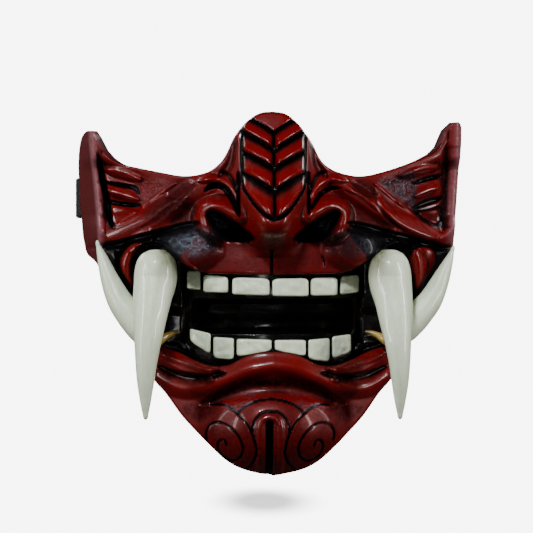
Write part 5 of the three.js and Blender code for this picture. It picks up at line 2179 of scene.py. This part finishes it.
@dataclass(frozen=True)
class Studio:
    """A wide pale floor in a pale surround, soft lights, and a camera placed as in the photo."""

    aim: tuple[float, float, float] = (-0.0035, -0.00073, -0.0611)
    eye_x: float = -0.0316
    distance: float = 1.2
    lens: float = 164.0
    sensor: float = 36.0
    floor_z: float = -0.179
    floor_half: float = 4.0
    glow: float = 7.2
    dim: float = 0.02
    dim_tint: Colour = (0.9, 0.92, 0.95)
    unlit: Colour = (0.05, 0.05, 0.05)
    # Place, size and darkness of the painted shadow on the floor
    shade_x: float = -0.004
    shade_y: float = 0.02
    shade_wide: float = 0.03
    shade_long: float = 0.085
    shade_depth: float = 0.8

    @staticmethod
    def facing(run: Vector) -> Euler:
        """The rotation that turns a camera or a light along a direction."""
        return run.to_track_quat("-Z", "Y").to_euler()

    def camera(self) -> None:
        """Puts the camera level in front of the mask, a little to the left."""
        data = bpy.data.cameras.new("photo_camera")
        data.sensor_width = self.sensor
        data.lens = self.lens
        data.clip_start = 0.05
        data.clip_end = 20.0
        camera = bpy.data.objects.new("photo_camera", data)
        camera.location = (self.eye_x, self.aim[1] - self.distance, self.aim[2])
        camera.rotation_euler = self.facing(Vector(self.aim) - camera.location)
        bpy.context.scene.collection.objects.link(camera)
        bpy.context.scene.camera = camera

    def floor(self) -> None:
        """Lays the floor.

        It shows pale and even to the camera, with a soft painted shadow under the mask, stays dark
        in the lacquer's reflections, and can't be seen from below.
        """
        half = self.floor_half
        corners = ((-half, -half), (half, -half), (half, half), (-half, half))
        mesh = bpy.data.meshes.new("floor")
        mesh.from_pydata([(x, y, self.floor_z) for x, y in corners], [], [(0, 1, 2, 3)])
        material, graph, shader = new_material("pale_floor")
        seen = graph.add("ShaderNodeLightPath").outputs["Is Camera Ray"]
        below = graph.add("ShaderNodeNewGeometry").outputs["Backfacing"]
        x, y = graph.split(graph.place())
        # Painted shadow: the floor's glow is dimmed in a soft ellipse under the mask
        across = graph.math("DIVIDE", graph.minus(x, self.shade_x), self.shade_wide)
        along = graph.math("DIVIDE", graph.minus(y, self.shade_y), self.shade_long)
        away = graph.math("SQRT", graph.plus(graph.times(across, across),
                                             graph.times(along, along)))
        shade = graph.times(graph.minus(1.0, graph.step(away, 0.3, 1.15)), self.shade_depth)
        glow = graph.times(graph.minus(1.0, shade), self.glow)
        graph.fill(shader, {
            "Base Color": self.unlit,
            "Roughness": 0.9,
            "Specular IOR Level": 0.0,
            "Emission Color": WHITE,
            "Emission Strength": graph.times(seen, glow),
            "Alpha": graph.minus(1.0, below),
        })
        mesh.materials.append(material)
        sheet = bpy.data.objects.new("floor", mesh)
        bpy.context.scene.collection.objects.link(sheet)

    @staticmethod
    def softbox(name: str, place: Colour, size: tuple[float, float], power: float,
                tint: Colour = WHITE) -> None:
        """Hangs a soft box that faces the mask."""
        data = bpy.data.lights.new(name, "AREA")
        data.shape = "RECTANGLE"
        data.size, data.size_y = size
        data.energy = power
        data.color = tint
        light = bpy.data.objects.new(name, data)
        light.location = place
        light.rotation_euler = Studio.facing(Vector((0.0, 0.0, -0.06)) - light.location)
        bpy.context.scene.collection.objects.link(light)

    def lights(self) -> None:
        """Hangs the lights."""
        self.softbox("key_above", (-0.3, -0.95, 0.92), (0.2, 0.12), 25.0, (0.91, 0.96, 1.0))
        self.softbox("side_left", (-1.15, -0.4, 0.2), (0.13, 0.85), 11.5)
        self.softbox("side_right", (1.15, -0.45, 0.25), (0.13, 0.85), 14.5)
        self.softbox("low_front", (-0.15, -1.0, -0.1), (0.1, 0.1), 0.7)
        self.softbox("back_left", (-0.9, 1.0, 0.7), (0.5, 0.5), 9.0)
        self.softbox("back_right", (0.9, 1.0, 0.5), (0.5, 0.5), 9.0)

    def surround(self) -> None:
        """Makes the world: pale to the camera, and dim to everything else."""
        world = bpy.data.worlds.new("surround")
        world.use_nodes = True
        graph = Graph(world.node_tree)
        seen = graph.add("ShaderNodeLightPath").outputs["Is Camera Ray"]
        background = world.node_tree.nodes["Background"]
        graph.fill(background, {
            "Color": graph.mix(seen, self.dim_tint, WHITE),
            "Strength": graph.blend(seen, self.dim, self.glow),
        })
        bpy.context.scene.world = world

    def build(self) -> None:
        """Sets up the whole studio."""
        self.camera()
        self.floor()
        self.lights()
        self.surround()


def main() -> None:
    """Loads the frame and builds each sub-assembly."""
    logging.basicConfig(level=logging.INFO, format="%(name)s: %(message)s", stream=sys.stdout)
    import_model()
    Studio().build()
    effects = Effects()
    lacquer, black = Lacquer().make(effects), BlackResin().make(effects)
    ivory = Ivory().make(effects)
    MaskShell().build(lacquer)
    MouthInsert().build(black)
    ToothRow("upper", UPPER_TEETH, ARCH_UPPER, gum_above=True).build(ivory)
    ToothRow("lower", LOWER_TEETH, ARCH_LOWER, gum_above=False).build(ivory)
    for sign in (-1, 1):
        fang(sign).build(ivory)
        tusk(sign).build(ivory)
    HeadStrap().build(Webbing().make(effects))
    plate = PlatePlastic().make(effects)
    for sign in (-1, 1):
        StrapPlate(sign).build(plate)


if __name__ == "__main__":
    main()
